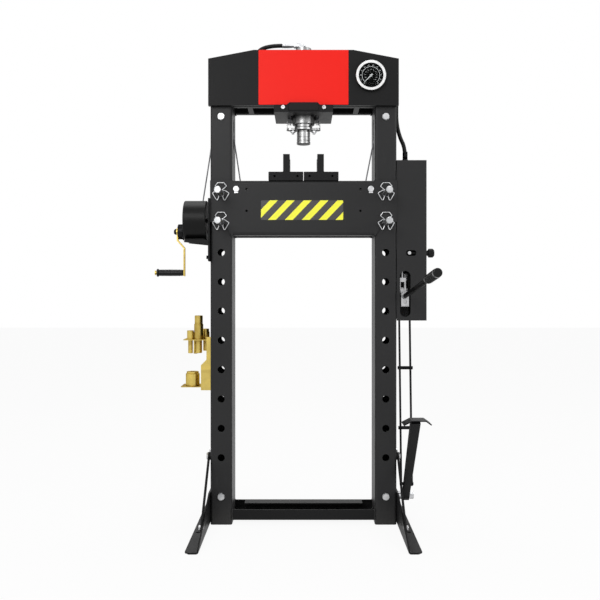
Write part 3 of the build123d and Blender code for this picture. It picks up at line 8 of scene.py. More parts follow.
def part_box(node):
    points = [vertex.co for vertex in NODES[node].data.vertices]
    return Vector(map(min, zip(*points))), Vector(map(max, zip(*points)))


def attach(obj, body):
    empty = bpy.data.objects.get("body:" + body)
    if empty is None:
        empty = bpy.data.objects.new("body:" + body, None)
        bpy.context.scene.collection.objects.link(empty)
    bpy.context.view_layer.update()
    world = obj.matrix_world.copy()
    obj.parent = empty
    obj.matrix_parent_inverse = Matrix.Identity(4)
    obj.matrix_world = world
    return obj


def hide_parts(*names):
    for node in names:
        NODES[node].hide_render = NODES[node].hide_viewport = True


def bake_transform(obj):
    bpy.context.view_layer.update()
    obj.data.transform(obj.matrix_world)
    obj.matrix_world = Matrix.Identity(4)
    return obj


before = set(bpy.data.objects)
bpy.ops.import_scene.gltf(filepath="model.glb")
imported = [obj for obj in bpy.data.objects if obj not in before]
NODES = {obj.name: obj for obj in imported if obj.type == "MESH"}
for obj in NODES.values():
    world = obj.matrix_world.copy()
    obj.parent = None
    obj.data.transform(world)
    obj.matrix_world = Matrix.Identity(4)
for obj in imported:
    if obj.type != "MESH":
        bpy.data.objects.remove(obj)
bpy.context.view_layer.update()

bl_info = {
    "name": "Hydraulic press dressing",
    "version": (1, 0, 0),
    "blender": (4, 5, 0),
    "location": "3D View > Sidebar > Press",
    "description": "Finishes and fine pieces of a floor hydraulic press, set around its measured solids",
    "category": "Object",
}


def centre(node):
    """Middle of a node's box at rest."""
    low, high = (Vector(corner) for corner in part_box(node))
    return (low + high) / 2


# Settings a user would change

def length(name, description, default, **limits):
    return bpy.props.FloatProperty(
        name=name, description=description, default=default, unit='LENGTH', **limits)


def swatch(name, description, default):
    return bpy.props.FloatVectorProperty(
        name=name, description=description, default=default, subtype='COLOR', size=3, min=0, max=1)


class PaintSettings(bpy.types.PropertyGroup):
    black: swatch("Black coat", "Powder coat of the frame", (0.014, 0.014, 0.0145))
    red: swatch("Red coat", "Paint of the front panel", (0.93, 0.018, 0.012))
    grain: length("Coat grain", "Height of the fine peel of the powder coat", 0.00012,
                  min=0, max=0.001, precision=5)
    gold: swatch("Yellow zinc", "Plating of the rack, punches and crank", (0.60, 0.46, 0.13))


class LabelSettings(bpy.types.PropertyGroup):
    left: length("Left edge", "Left end of the striped label", -0.1612)
    right: length("Right edge", "Right end of the striped label", 0.1504)
    low: length("Lower edge", "Height of the label's lower edge", 1.1580)
    high: length("Upper edge", "Height of the label's upper edge", 1.2320)
    pitch: length("Stripe pitch", "Length along the label of a yellow and a black stripe", 0.0640, min=0.01)
    corner: length("Corner cut", "Cut at each corner", 0.0022, min=0)
    start: length("Stripe start", "Where along the label a yellow stripe starts, at floor height", -0.0363)


class GaugeSettings(bpy.types.PropertyGroup):
    arc: length("Arc radius", "Radius of the white arc of the scale", 0.0330, min=0.01)
    sweep: bpy.props.FloatProperty(
        name="Scale sweep", description="Angle that the scale covers", subtype='ANGLE',
        default=math.radians(276))
    start: bpy.props.FloatProperty(
        name="Zero mark", description="Angle of the zero mark, from the right, against the clock",
        subtype='ANGLE', default=math.radians(229))
    outer: bpy.props.IntProperty(
        name="Outer figures", description="Number of large figures", min=2, default=12)
    inner: bpy.props.IntProperty(
        name="Inner figures", description="Number of small figures", min=2, default=11)


class SpringSettings(bpy.types.PropertyGroup):
    turns: bpy.props.FloatProperty(
        name="Turns", description="Turns of each return spring", min=1, default=19)
    wire: length("Wire", "Radius of the spring wire", 0.0013, min=0.0005)


class HoseSettings(bpy.types.PropertyGroup):
    radius: length("Hose radius", "Outer radius of the pressure hose", 0.0080, min=0.002)
    crimps: bpy.props.IntProperty(
        name="Crimps", description="Rolled rings on each ferrule", min=1, default=5)


class WeldSettings(bpy.types.PropertyGroup):
    leg: length("Leg", "Size of a weld bead", 0.0028, min=0.0005)
    ripple: length("Ripple", "Distance between the scales of a bead", 0.0034, min=0.001)


class StageSettings(bpy.types.PropertyGroup):
    distance: length("Camera distance", "Camera in front of the middle plane", 2.975, min=1)
    height: length("Camera height", "Height of the camera", 0.9036)
    lens: bpy.props.FloatProperty(
        name="Lens", description="Focal length in millimetres", min=10, default=45.78)
    key: bpy.props.FloatProperty(
        name="Key light", description="Power of the large front light in watts", min=0, default=47)


# Building blocks for node trees

def add(tree, kind, inputs=(), **settings):
    """New node with its settings, and its inputs set to a value or linked to a socket or a node."""
    made = tree.nodes.new(kind)
    for name, value in settings.items():
        setattr(made, name, value)
    for key, value in dict(inputs).items():
        if isinstance(value, bpy.types.Node):
            value = value.outputs[0]
        if isinstance(value, bpy.types.NodeSocket):
            tree.links.new(value, made.inputs[key])
        else:
            made.inputs[key].default_value = value
    return made


def bare_tree(owner):
    """Empty node tree of a new material or world."""
    owner.use_nodes = True
    owner.node_tree.nodes.clear()
    return owner.node_tree


def maths(tree, operation, a, b=0.0, clamp=False):
    return add(tree, 'ShaderNodeMath', {0: a, 1: b}, operation=operation, use_clamp=clamp).outputs[0]


def times(tree, a, b, clamp=False):
    return maths(tree, 'MULTIPLY', a, b, clamp)


def plus(tree, a, b, clamp=False):
    return maths(tree, 'ADD', a, b, clamp)


def noise(tree, where, scale, detail=2.0, **more):
    return add(tree, 'ShaderNodeTexNoise', {'Vector': where, 'Scale': scale, 'Detail': detail, **more})


def group_tree(name, inputs, outputs):
    """Shader node group with named sockets; returns the tree, its input sockets and its output node."""
    tree = bpy.data.node_groups.new(name, 'ShaderNodeTree')
    for label, kind, value in inputs:
        socket = tree.interface.new_socket(label, in_out='INPUT', socket_type='NodeSocket' + kind)
        socket.default_value = value
    for label, kind in outputs:
        tree.interface.new_socket(label, in_out='OUTPUT', socket_type='NodeSocket' + kind)
    return tree, tree.nodes.new('NodeGroupInput').outputs, tree.nodes.new('NodeGroupOutput').inputs


def effect(tree, group, **values):
    made = tree.nodes.new('ShaderNodeGroup')
    made.node_tree = bpy.data.node_groups[group]
    for label, value in values.items():
        made.inputs[label.replace("_", " ")].default_value = value
    return made.outputs


def place(tree):
    return add(tree, 'ShaderNodeTexCoord').outputs['Object']


def coat_grain_group():
    """Orange peel of a sprayed coat, with slow shade changes and handling marks."""
    tree, given, out = group_tree(
        "Coat grain",
        [("Scale", "Float", 900.0), ("Depth", "Float", 0.00012), ("Marks", "Float", 0.3)],
        [("Shade", "Float"), ("Gloss", "Float"), ("Normal", "Vector")])
    where = place(tree)
    peel = noise(tree, where, given['Scale'], 2.0)
    cloud = noise(tree, where, 3.2, 4.0, Roughness=0.55)
    stretch = add(tree, 'ShaderNodeMapping', {'Vector': where, 'Scale': (60.0, 60.0, 9.0),
                                              'Rotation': (0.3, 0.2, 0.5)})
    rub = noise(tree, stretch, 1.0, 6.0)
    rubbed = add(tree, 'ShaderNodeMapRange', {'Value': rub, 'From Min': 0.62, 'From Max': 0.74})
    marks = times(tree, rubbed, given['Marks'])
    bump = add(tree, 'ShaderNodeBump', {'Height': peel, 'Distance': given['Depth'],
                                        'Strength': 0.8})
    tree.links.new(plus(tree, times(tree, cloud, 0.7), marks), out['Shade'])
    gloss = plus(tree, times(tree, cloud, 0.22),
                  times(tree, marks, 0.3))
    tree.links.new(gloss, out['Gloss'])
    tree.links.new(bump.outputs[0], out['Normal'])


def metal_grain_group():
    """Fine drawn or turned lines, longest along the axis with the smallest stretch."""
    tree, given, out = group_tree(
        "Metal grain",
        [("Stretch", "Vector", (400.0, 400.0, 30.0)), ("Depth", "Float", 0.00003)],
        [("Tone", "Float"), ("Lines", "Float"), ("Normal", "Vector")])
    where = place(tree)
    lines_at = add(tree, 'ShaderNodeVectorMath', {0: where, 1: given['Stretch']}, operation='MULTIPLY')
    lines = noise(tree, lines_at, 4.0, 3.0)
    tone = noise(tree, where, 38.0, 3.0)
    bump = add(tree, 'ShaderNodeBump', {'Height': lines, 'Distance': given['Depth'], 'Strength': 0.6})
    tree.links.new(tone.outputs[0], out['Tone'])
    tree.links.new(lines.outputs[0], out['Lines'])
    tree.links.new(bump.outputs[0], out['Normal'])


def grime_group():
    """Dust that lies near the floor and in slow patches."""
    tree, given, out = group_tree(
        "Floor dust", [("Height", "Float", 0.10), ("Amount", "Float", 0.10)], [("Mask", "Float")])
    where = place(tree)
    rise = add(tree, 'ShaderNodeSeparateXYZ', {'Vector': where}).outputs['Z']
    fade = maths(tree, 'SUBTRACT', 1.0, maths(tree, 'DIVIDE', rise, given['Height']), clamp=True)
    patches = noise(tree, where, 14.0, 5.0)
    mask = times(tree, times(tree, fade, patches), given['Amount'])
    tree.links.new(mask, out['Mask'])


def new_material(name, **sockets):
    """Material with its Principled shader; returns the tree and the shader."""
    material = bpy.data.materials.new(name)
    material.use_nodes = True
    shader = material.node_tree.nodes['Principled BSDF']
    for label, value in sockets.items():
        shader.inputs[label.replace("_", " ")].default_value = value
    return material.node_tree, shader


def between(tree, factor, first, second):
    """Colour between two colours by a factor that changes over the surface."""
    ends = {0: factor, 6: (*first, 1.0), 7: (*second, 1.0)}
    return add(tree, 'ShaderNodeMix', ends, data_type='RGBA').outputs[2]


DUST = (0.30, 0.285, 0.26, 1.0)


def coat(name, colour, worn, rough, depth, marks=0.3, dust=True, sheen=0.22):
    """Sprayed coat: base colour, the tone it wears to, roughness, depth of its peel and its reflection."""
    tree, shader = new_material(name, Specular_IOR_Level=sheen)
    grain = effect(tree, "Coat grain", Depth=depth, Marks=marks)
    shade = times(tree, grain['Shade'], 0.9, clamp=True)
    tint = between(tree, shade, colour, worn)
    if dust:
        powder = {0: effect(tree, "Floor dust")['Mask'], 6: tint, 7: DUST}
        tint = add(tree, 'ShaderNodeMix', powder, data_type='RGBA').outputs[2]
    tree.links.new(tint, shader.inputs['Base Color'])
    tree.links.new(plus(tree, grain['Gloss'], rough, clamp=True), shader.inputs['Roughness'])
    tree.links.new(grain['Normal'], shader.inputs['Normal'])


def metal(name, colour, second, rough, stretch, depth=0.00003, edge=0.45):
    """Bare or plated metal with grain lines, two tones and a painted darker reflection at a low angle,
    standing in for dark surroundings mirrored at the rims.
    """
    # edge: grey specular tint, a painted darkening of the reflection at a low angle that stands in for dark
    # surroundings at the rims
    tree, shader = new_material(name, Metallic=1.0, Specular_Tint=(edge, edge, edge, 1))
    grain = effect(tree, "Metal grain", Stretch=stretch, Depth=depth)
    spread = add(tree, 'ShaderNodeMapRange', {'Value': grain['Tone'], 'From Min': 0.35, 'From Max': 0.65})
    tree.links.new(between(tree, spread, colour, second), shader.inputs['Base Color'])
    rise = times(tree, grain['Lines'], 0.16)
    tree.links.new(plus(tree, rise, rough, clamp=True), shader.inputs['Roughness'])
    tree.links.new(grain['Normal'], shader.inputs['Normal'])


def yellow_zinc(colour):
    """Yellow zinc plate: gold with drifting greenish and reddish patches."""
    tree, shader = new_material("Yellow zinc plate", Metallic=1.0, Specular_Tint=(0.5, 0.4, 0.25, 1))
    where = place(tree)
    drift = noise(tree, where, 16.0, 4.0, Distortion=0.8)
    ramp = add(tree, 'ShaderNodeValToRGB', {'Fac': drift})
    stops = ramp.color_ramp.elements
    stops[0].position, stops[0].color = 0.30, (colour[0] * 0.72, colour[1] * 0.66, colour[2] * 0.55, 1)
    stops[1].position, stops[1].color = 0.72, (colour[0] * 1.22, colour[1] * 1.18, colour[2] * 1.05, 1)
    middle = stops.new(0.5)
    middle.color = (*colour, 1)
    grain = effect(tree, "Metal grain", Stretch=(120.0, 120.0, 120.0), Depth=0.00005)
    tree.links.new(ramp.outputs[0], shader.inputs['Base Color'])
    rise = times(tree, grain['Tone'], 0.22)
    tree.links.new(plus(tree, rise, 0.22, clamp=True), shader.inputs['Roughness'])
    tree.links.new(grain['Normal'], shader.inputs['Normal'])


def moulded(name, colour, rough, scale, depth, sheen=0.16):
    """Moulded rubber or plastic with a fine leathery surface."""
    tree, shader = new_material(name, Specular_IOR_Level=sheen)
    where = place(tree)
    cells = add(tree, 'ShaderNodeTexVoronoi', {'Vector': where, 'Scale': scale})
    cloud = noise(tree, where, 30.0, 3.0)
    bump = add(tree, 'ShaderNodeBump', {'Height': cells, 'Distance': depth, 'Strength': 0.7})
    paler = tuple(c * 1.7 + 0.003 for c in colour)
    tree.links.new(between(tree, cloud, colour, paler), shader.inputs['Base Color'])
    tree.links.new(plus(tree, times(tree, cloud, 0.2), rough), shader.inputs['Roughness'])
    tree.links.new(bump.outputs[0], shader.inputs['Normal'])


WHOLE_TURNS = 160    # keeps the stripe count above zero everywhere on the label
STRIPE_LEAN = 0.965    # length along the label per unit of height
YELLOW_SHARE = 0.47
FILM_YELLOW = (1.0, 0.98, 0.045)
FILM_BLACK = (0.035, 0.033, 0.035)


def hazard_material(label):
    """Yellow film with slanting black stripes, placed by the label's own position."""
    tree, shader = new_material("Striped film", Coat_Weight=0.3, Coat_Roughness=0.2)
    split = add(tree, 'ShaderNodeSeparateXYZ', {'Vector': place(tree)}).outputs
    slant = maths(tree, 'SUBTRACT', split['X'], times(tree, split['Z'], STRIPE_LEAN))
    along = plus(tree, slant, WHOLE_TURNS * label.pitch - label.start)
    turns = maths(tree, 'FRACT', maths(tree, 'DIVIDE', along, label.pitch))
    wobble = noise(tree, place(tree), 300.0)
    edge = plus(tree, YELLOW_SHARE, times(tree, wobble, 0.004))
    black = maths(tree, 'GREATER_THAN', turns, edge)
    tree.links.new(between(tree, black, FILM_YELLOW, FILM_BLACK), shader.inputs['Base Color'])
    tree.links.new(plus(tree, times(tree, wobble, 0.12), 0.32), shader.inputs['Roughness'])


def glass_material():
    """Thin flat glass: clear, with a faint mirror image that grows at a low angle."""
    tree = bare_tree(bpy.data.materials.new("Gauge glass"))
    smear = noise(tree, place(tree), 40.0, 2.0)
    rough = times(tree, smear, 0.08)
    mirror = add(tree, 'ShaderNodeBsdfGlossy', {'Color': (1, 1, 1, 1), 'Roughness': rough})
    clear = add(tree, 'ShaderNodeBsdfTransparent', {'Color': (0.97, 0.98, 0.98, 1)})
    share = add(tree, 'ShaderNodeFresnel', {'IOR': 1.10})
    seen = add(tree, 'ShaderNodeMixShader', {0: share, 1: clear, 2: mirror})
    add(tree, 'ShaderNodeOutputMaterial', {'Surface': seen})


def print_white():
    tree, shader = new_material("White print", Specular_IOR_Level=0.3)
    fleck = noise(tree, place(tree), 500.0)
    tree.links.new(between(tree, fleck, (0.80, 0.80, 0.80), (0.95, 0.95, 0.95)), shader.inputs['Base Color'])
    tree.links.new(plus(tree, times(tree, fleck, 0.1), 0.45), shader.inputs['Roughness'])


FINISHES = {
    "Frame coat": ("left_upright", "right_upright", "bed_front_beam", "bed_back_beam", "pump_box"),
    "Head coat": ("head_front_beam", "head_back_beam", "head_front_cover", "carriage_frame", "pump_body",
                  "foot_pedal", "winch_bracket", "vee_blocks", "left_foot", "right_foot",
                  "foot_braces", "lower_front_crossmember", "lower_back_crossmember"),
    "Red coat": ("red_front_panel",),
    "Bright zinc": ("frame_bolts", "bed_tie_bolts", "left_upper_bed_pin", "left_lower_bed_pin",
                    "right_upper_bed_pin", "right_lower_bed_pin", "yoke_bolts", "carriage_screws",
                    "hose_elbow", "pedal_axle", "winch_drum", "cable_sheaves"),
    "Plated steel": ("hand_plunger", "lever_clevis", "foot_plunger", "left_rollers", "right_rollers"),
    "Turned steel": ("cylinder_barrel", "gland_nut", "ram_rod", "ram_tip", "spring_yoke"),
    "Yellow zinc plate": ("tool_rack", "crank_arm", "press_punches"),
    "Black oxide": ("pedal_links", "lever_tube", "pinion_shaft"),
    "Hose rubber": ("pressure_hose", "hose_loop"),
    "Moulded black": ("release_rod", "gauge_case"),
    "Glossy grip": ("crank_grip", "lever_grip"),
    "Cover coat": ("winch_cover",),
    "Dial black": ("gauge_dial",),
    "White print": ("gauge_needle",),
    "Gauge glass": ("gauge_lens",),
    "Wire rope steel": ("lift_cable", "wound_cable", "return_springs"),
}


COATS = {
    "Head coat": dict(colour=(0.007, 0.007, 0.0073), worn=(0.016, 0.016, 0.0165), rough=0.36, sheen=0.13),
    "Cover coat": dict(colour=(0.003, 0.003, 0.003), worn=(0.008, 0.008, 0.008), rough=0.24, sheen=0.15),
}

METALS = {
    "Bright zinc": dict(colour=(0.46, 0.47, 0.48), second=(0.66, 0.66, 0.67), rough=0.26,
                        stretch=(160.0,) * 3, depth=0.00004),
    "Satin ring": dict(colour=(0.66, 0.66, 0.66), second=(0.74, 0.74, 0.74), rough=0.42,
                       stretch=(200.0,) * 3),
    "Plated steel": dict(colour=(0.38, 0.38, 0.39), second=(0.55, 0.55, 0.56), rough=0.18,
                         stretch=(90.0,) * 3),
    # Turned steel gets the strongest painted darkening of its reflection at a low angle, for darker rims
    "Turned steel": dict(colour=(0.30, 0.30, 0.30), second=(0.48, 0.48, 0.48), rough=0.26,
                         stretch=(12.0, 12.0, 420.0), depth=0.00005, edge=0.2),
    "Wire rope steel": dict(colour=(0.12, 0.12, 0.125), second=(0.22, 0.22, 0.23), rough=0.34,
                            stretch=(300.0,) * 3),
    "Black oxide": dict(colour=(0.010, 0.010, 0.0105), second=(0.022, 0.022, 0.023), rough=0.34,
                        stretch=(200.0, 200.0, 24.0)),
}

MOULDINGS = {
    "Hose rubber": dict(colour=(0.006, 0.006, 0.006), rough=0.36, scale=900.0, depth=0.00012),
    "Moulded black": dict(colour=(0.007, 0.007, 0.007), rough=0.34, scale=1400.0, depth=0.00008),
    "Glossy grip": dict(colour=(0.003, 0.003, 0.003), rough=0.14, scale=1400.0, depth=0.00002, sheen=0.20),
    "Dial black": dict(colour=(0.002, 0.002, 0.002), rough=0.55, scale=1800.0, depth=0.00002, sheen=0.03),
}


class PRESS_OT_finishes(bpy.types.Operator):
    """Build every finish and put it on the solids"""
    bl_idname = "press.finishes"
    bl_label = "Finishes"

    def execute(self, context):
        paint = context.scene.press_paint
        coat_grain_group()
        metal_grain_group()
        grime_group()
        coat("Frame coat", tuple(paint.black), (0.030, 0.030, 0.031), 0.34, paint.grain)
        coat("Red coat", tuple(paint.red), (0.98, 0.024, 0.016), 0.30, 0.00005, marks=0.1, dust=False,
             sheen=0.12)
        for name, values in COATS.items():
            coat(name, depth=paint.grain, dust=False, **values)
        for name, values in METALS.items():
            metal(name, **values)
        for name, values in MOULDINGS.items():
            moulded(name, **values)
        yellow_zinc(tuple(paint.gold))
        hazard_material(context.scene.press_label)
        glass_material()
        print_white()
        for finish, names in FINISHES.items():
            for name in names:
                node = NODES[name]
                if not node.material_slots:
                    node.data.materials.append(None)
                for slot in node.material_slots:
                    slot.link = 'OBJECT'
                    slot.material = bpy.data.materials[finish]
        return {'FINISHED'}


# Building blocks for pieces

def link_object(name, mesh):
    piece = bpy.data.objects.new(name, mesh)
    bpy.context.collection.objects.link(piece)
    return piece


def settle(name, mesh, body, finish=None, smooth=None, bevel=None):
    """Piece with its finish and its body (none for a piece that joins two)."""
    piece = link_object(name, mesh)
    if bevel:
        rounding = piece.modifiers.new("round", 'BEVEL')
        rounding.width, rounding.segments = bevel
    if finish:
        piece.data.materials.clear()
        piece.data.materials.append(bpy.data.materials[finish])
    if smooth is not None:
        piece.data.polygons.foreach_set("use_smooth", [smooth] * len(piece.data.polygons))
    if body:
        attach(piece, body)
    return piece


def mesh_from(name, vertices, faces=(), edges=()):
    mesh = bpy.data.meshes.new(name)
    mesh.from_pydata(vertices, edges, faces)
    mesh.update()
    return mesh


def nodes_tree(name, inputs):
    """Geometry Nodes tree with named inputs; returns the tree, its inputs and its output socket."""
    tree = bpy.data.node_groups.new(name, 'GeometryNodeTree')
    tree.interface.new_socket("Geometry", in_out='INPUT', socket_type='NodeSocketGeometry')
    for label, kind, value in inputs:
        socket = tree.interface.new_socket(label, in_out='INPUT', socket_type='NodeSocket' + kind)
        if value is not None:
            socket.default_value = value
    tree.interface.new_socket("Geometry", in_out='OUTPUT', socket_type='NodeSocketGeometry')
    return tree, tree.nodes.new('NodeGroupInput').outputs, tree.nodes.new('NodeGroupOutput').inputs[0]


def end_tree(tree, given, geometry, out):
    """Realise the instances and set the finish, as the last two nodes."""
    real = add(tree, 'GeometryNodeRealizeInstances', {0: geometry})
    painted = add(tree, 'GeometryNodeSetMaterial', {'Geometry': real, 'Material': given['Finish']})
    tree.links.new(painted.outputs[0], out)


def radial_tree():
    """Blocks in a ring about local Z: ticks, ratchet teeth, knurls."""
    tree, given, out = nodes_tree("Blocks in a ring", [
        ("Count", "Int", 12), ("Radius", "Float", 0.02), ("Start", "Float", 0.0),
        ("Sweep", "Float", 6.28319),
        ("Size", "Vector", (0.001, 0.001, 0.001)), ("Lean", "Float", 0.0), ("Finish", "Material", None)])
    points = add(tree, 'GeometryNodePoints', {'Count': given['Count']})
    index = add(tree, 'GeometryNodeInputIndex')
    last = maths(tree, 'MAXIMUM', maths(tree, 'SUBTRACT', given['Count'], 1.0), 1.0)
    share = maths(tree, 'DIVIDE', index, last)
    angle = plus(tree, given['Start'], times(tree, share, given['Sweep']))
    x = times(tree, maths(tree, 'COSINE', angle), given['Radius'])
    y = times(tree, maths(tree, 'SINE', angle), given['Radius'])
    spot = add(tree, 'ShaderNodeCombineXYZ', {'X': x, 'Y': y})
    moved = add(tree, 'GeometryNodeSetPosition', {'Geometry': points, 'Position': spot})
    block = add(tree, 'GeometryNodeMeshCube', {'Size': given['Size']})
    turn = add(tree, 'ShaderNodeCombineXYZ', {'Z': plus(tree, angle, given['Lean'])})
    spread = add(tree, 'GeometryNodeInstanceOnPoints', {
        'Points': moved, 'Instance': block, 'Rotation': turn})
    end_tree(tree, given, spread, out)


def ring_row_tree():
    """Round rings in a row along local Z: ribs of a grip, crimps of a ferrule, thread of a bolt."""
    tree, given, out = nodes_tree("Rings in a row", [
        ("Count", "Int", 8), ("Pitch", "Float", 0.002), ("Radius", "Float", 0.01), ("Bead", "Float", 0.001),
        ("Finish", "Material", None)])
    row = add(tree, 'GeometryNodePoints', {'Count': given['Count']})
    index = add(tree, 'GeometryNodeInputIndex')
    up = add(tree, 'ShaderNodeCombineXYZ', {'Z': times(tree, index, given['Pitch'])})
    moved = add(tree, 'GeometryNodeSetPosition', {'Geometry': row, 'Position': up})
    path = add(tree, 'GeometryNodeCurvePrimitiveCircle', {'Resolution': 36, 'Radius': given['Radius']})
    section = add(tree, 'GeometryNodeCurvePrimitiveCircle', {'Resolution': 8, 'Radius': given['Bead']})
    ring = add(tree, 'GeometryNodeCurveToMesh', {0: path, 1: section})
    spread = add(tree, 'GeometryNodeInstanceOnPoints', {
        'Points': moved, 'Instance': ring})
    end_tree(tree, given, spread, out)


def coil_tree():
    """Round wire wound about local Z."""
    tree, given, out = nodes_tree("Wound wire", [
        ("Turns", "Float", 6.0), ("Radius", "Float", 0.01), ("Height", "Float", 0.05),
        ("Wire", "Float", 0.001), ("Steps", "Int", 20), ("Finish", "Material", None)])
    path = add(tree, 'GeometryNodeCurveSpiral', {
        'Resolution': given['Steps'], 'Rotations': given['Turns'], 'Start Radius': given['Radius'],
        'End Radius': given['Radius'], 'Height': given['Height']})
    section = add(tree, 'GeometryNodeCurvePrimitiveCircle', {'Resolution': 10, 'Radius': given['Wire']})
    wire = add(tree, 'GeometryNodeCurveToMesh', {0: path, 1: section, 'Fill Caps': True})
    end_tree(tree, given, wire, out)


def weld_tree():
    """Rippled bead along every edge of the seam mesh."""
    tree, given, out = nodes_tree("Weld bead", [
        ("Leg", "Float", 0.003), ("Ripple", "Float", 0.0034), ("Seed", "Int", 4),
        ("Finish", "Material", None)])
    seam = add(tree, 'GeometryNodeMeshToCurve', {0: given['Geometry']})
    steps = add(tree, 'GeometryNodeResampleCurve', {'Curve': seam, 'Length': given['Ripple']},
                mode='LENGTH')
    tangent = add(tree, 'GeometryNodeInputTangent')
    face = add(tree, 'FunctionNodeAlignRotationToVector', {'Vector': tangent}, axis='X')
    drop = add(tree, 'GeometryNodeMeshUVSphere', {'Segments': 8, 'Rings': 5, 'Radius': given['Leg']})
    uneven = add(tree, 'FunctionNodeRandomValue', {'Seed': given['Seed'], 2: 0.86, 3: 1.12},
                 data_type='FLOAT')
    spread = add(tree, 'GeometryNodeInstanceOnPoints', {
        'Points': steps, 'Instance': drop, 'Rotation': face,
        'Scale': uneven.outputs[1]})
    end_tree(tree, given, spread, out)


CORNER_RADIUS = 0.577    # of a hexagon, as a share of its width across flats
WASHER_DEPTH = 0.0016


def fastener_tree():
    """Hexagon head with a round washer under it at every vertex, facing along local Z."""
    tree, given, out = nodes_tree("Hex fasteners", [
        ("Across", "Float", 0.010), ("Head", "Float", 0.005), ("Washer", "Float", 0.009),
        ("Finish", "Material", None)])
    head = add(tree, 'GeometryNodeMeshCylinder', {
        'Vertices': 6, 'Radius': times(tree, given['Across'], CORNER_RADIUS),
        'Depth': given['Head']})
    lift = add(tree, 'ShaderNodeCombineXYZ', {'Z': times(tree, given['Head'], 0.5)})
    raised = add(tree, 'GeometryNodeTransform', {'Geometry': head, 'Translation': lift})
    ring = add(tree, 'GeometryNodeMeshCylinder', {
        'Vertices': 28, 'Radius': given['Washer'], 'Depth': WASHER_DEPTH})
    both = add(tree, 'GeometryNodeJoinGeometry')
    tree.links.new(raised.outputs[0], both.inputs[0])
    tree.links.new(ring.outputs[0], both.inputs[0])
    spread = add(tree, 'GeometryNodeInstanceOnPoints', {
        'Points': given['Geometry'], 'Instance': both})
    end_tree(tree, given, spread, out)


def grown(name, tree_name, finish, where=None, seed_mesh=None, **values):
    """Mesh made by one of the trees with this finish and these inputs, put in place by a matrix."""
    values["Finish"] = bpy.data.materials[finish]
    carrier = link_object(name + "_tree", seed_mesh or mesh_from(name + "_seed", [(0, 0, 0)]))
    modifier = carrier.modifiers.new("grow", 'NODES')
    modifier.node_group = bpy.data.node_groups[tree_name]
    for item in modifier.node_group.interface.items_tree:
        label = item.name.replace(" ", "_")
        if item.in_out == 'INPUT' and label in values:
            modifier[item.identifier] = values[label]
    depsgraph = bpy.context.evaluated_depsgraph_get()
    mesh = bpy.data.meshes.new_from_object(carrier.evaluated_get(depsgraph))
    carrier.modifiers.remove(modifier)
    bpy.data.objects.remove(carrier)
    mesh.name = name
    if where is not None:
        mesh.transform(where)
    return mesh


def joined(name, meshes):
    """One mesh from several, with their finishes kept."""
    work = bmesh.new()
    finishes = []
    for mesh in meshes:
        start = len(work.faces)
        work.from_mesh(mesh)
        work.faces.ensure_lookup_table()
        for finish in mesh.materials:
            if finish not in finishes:
                finishes.append(finish)
        for face in work.faces[start:]:
            if mesh.materials:
                own = min(face.material_index, len(mesh.materials) - 1)
                face.material_index = finishes.index(mesh.materials[own])
    result = bpy.data.meshes.new(name)
    work.to_mesh(result)
    work.free()
    for finish in finishes:
        result.materials.append(finish)
    return result


def at(x, y, z, axis='Z'):
    """Place with local Z turned towards an axis of the frame."""
    turns = {
        'Z': Matrix.Identity(4), '-Z': Matrix.Rotation(math.pi, 4, 'X'),
        '-Y': Matrix.Rotation(math.pi / 2, 4, 'X'), 'Y': Matrix.Rotation(-math.pi / 2, 4, 'X'),
        'X': Matrix.Rotation(math.pi / 2, 4, 'Y'), '-X': Matrix.Rotation(-math.pi / 2, 4, 'Y'),
    }
    return Matrix.Translation((x, y, z)) @ turns[axis]


class PRESS_OT_trees(bpy.types.Operator):
    """Build the Geometry Nodes trees that the pieces share"""
    bl_idname = "press.trees"
    bl_label = "Shared trees"

    def execute(self, context):
        for build in (radial_tree, ring_row_tree, coil_tree, weld_tree, fastener_tree):
            build()
        return {'FINISHED'}


FILM_FRONT = 0.0004      # in front of the beam's face
FILM_BACK = 0.00002


class PRESS_OT_hazard_label(bpy.types.Operator):
    """Striped film on the front of the bed"""
    bl_idname = "press.hazard_label"
    bl_label = "Striped label"

    def execute(self, context):
        label = context.scene.press_label
        face_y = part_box("bed_front_beam")[0][1]
        c = label.corner
        corners = [
            (label.left + c, label.low), (label.right - c, label.low), (label.right, label.low + c),
            (label.right, label.high - c), (label.right - c, label.high), (label.left + c, label.high),
            (label.left, label.high - c), (label.left, label.low + c)]
        front = [(x, face_y - FILM_FRONT, z) for x, z in corners]
        back = [(x, face_y - FILM_BACK, z) for x, z in corners]
        many = len(corners)
        sides = [(n, n + many, (n + 1) % many + many, (n + 1) % many) for n in range(many)]
        faces = [tuple(range(many)), tuple(range(2 * many - 1, many - 1, -1))] + sides
        mesh = mesh_from("hazard_label", front + back, faces)
        turn_outwards(mesh)
        settle("hazard_label", mesh, "frame", "Striped film")
        return {'FINISHED'}


def turn_outwards(mesh):
    work = bmesh.new()
    work.from_mesh(mesh)
    bmesh.ops.recalc_face_normals(work, faces=work.faces)
    work.to_mesh(mesh)
    work.free()


def flat_ring(name, inner, outer, depth, segments=96, start=0.0, sweep=2 * math.pi):
    """Flat washer shape, or an arc of one, about local Z from Z = 0 up to its depth."""
    whole = abs(sweep) > 2 * math.pi - 0.01
    count = segments if whole else segments + 1
    vertices = []
    for radius, z in ((inner, 0), (outer, 0), (outer, depth), (inner, depth)):
        for n in range(count):
            turn = start + sweep * n / segments
            vertices.append((radius * math.cos(turn), radius * math.sin(turn), z))
    faces = []
    for band in range(4):
        a, b = band * count, (band + 1) % 4 * count
        for n in range(segments):
            m = (n + 1) % count
            faces.append((a + n, a + m, b + m, b + n))
    if not whole:
        faces += [tuple(band * count + end for band in range(4)) for end in (0, count - 1)]
    mesh = mesh_from(name, vertices, faces)
    turn_outwards(mesh)
    return mesh


def painted(mesh, finish):
    mesh.materials.clear()
    mesh.materials.append(bpy.data.materials[finish])
    return mesh


FONT_SIZE = 1.38         # type size for a figure of height 1
FIGURE_EXTRUDE = 0.00008


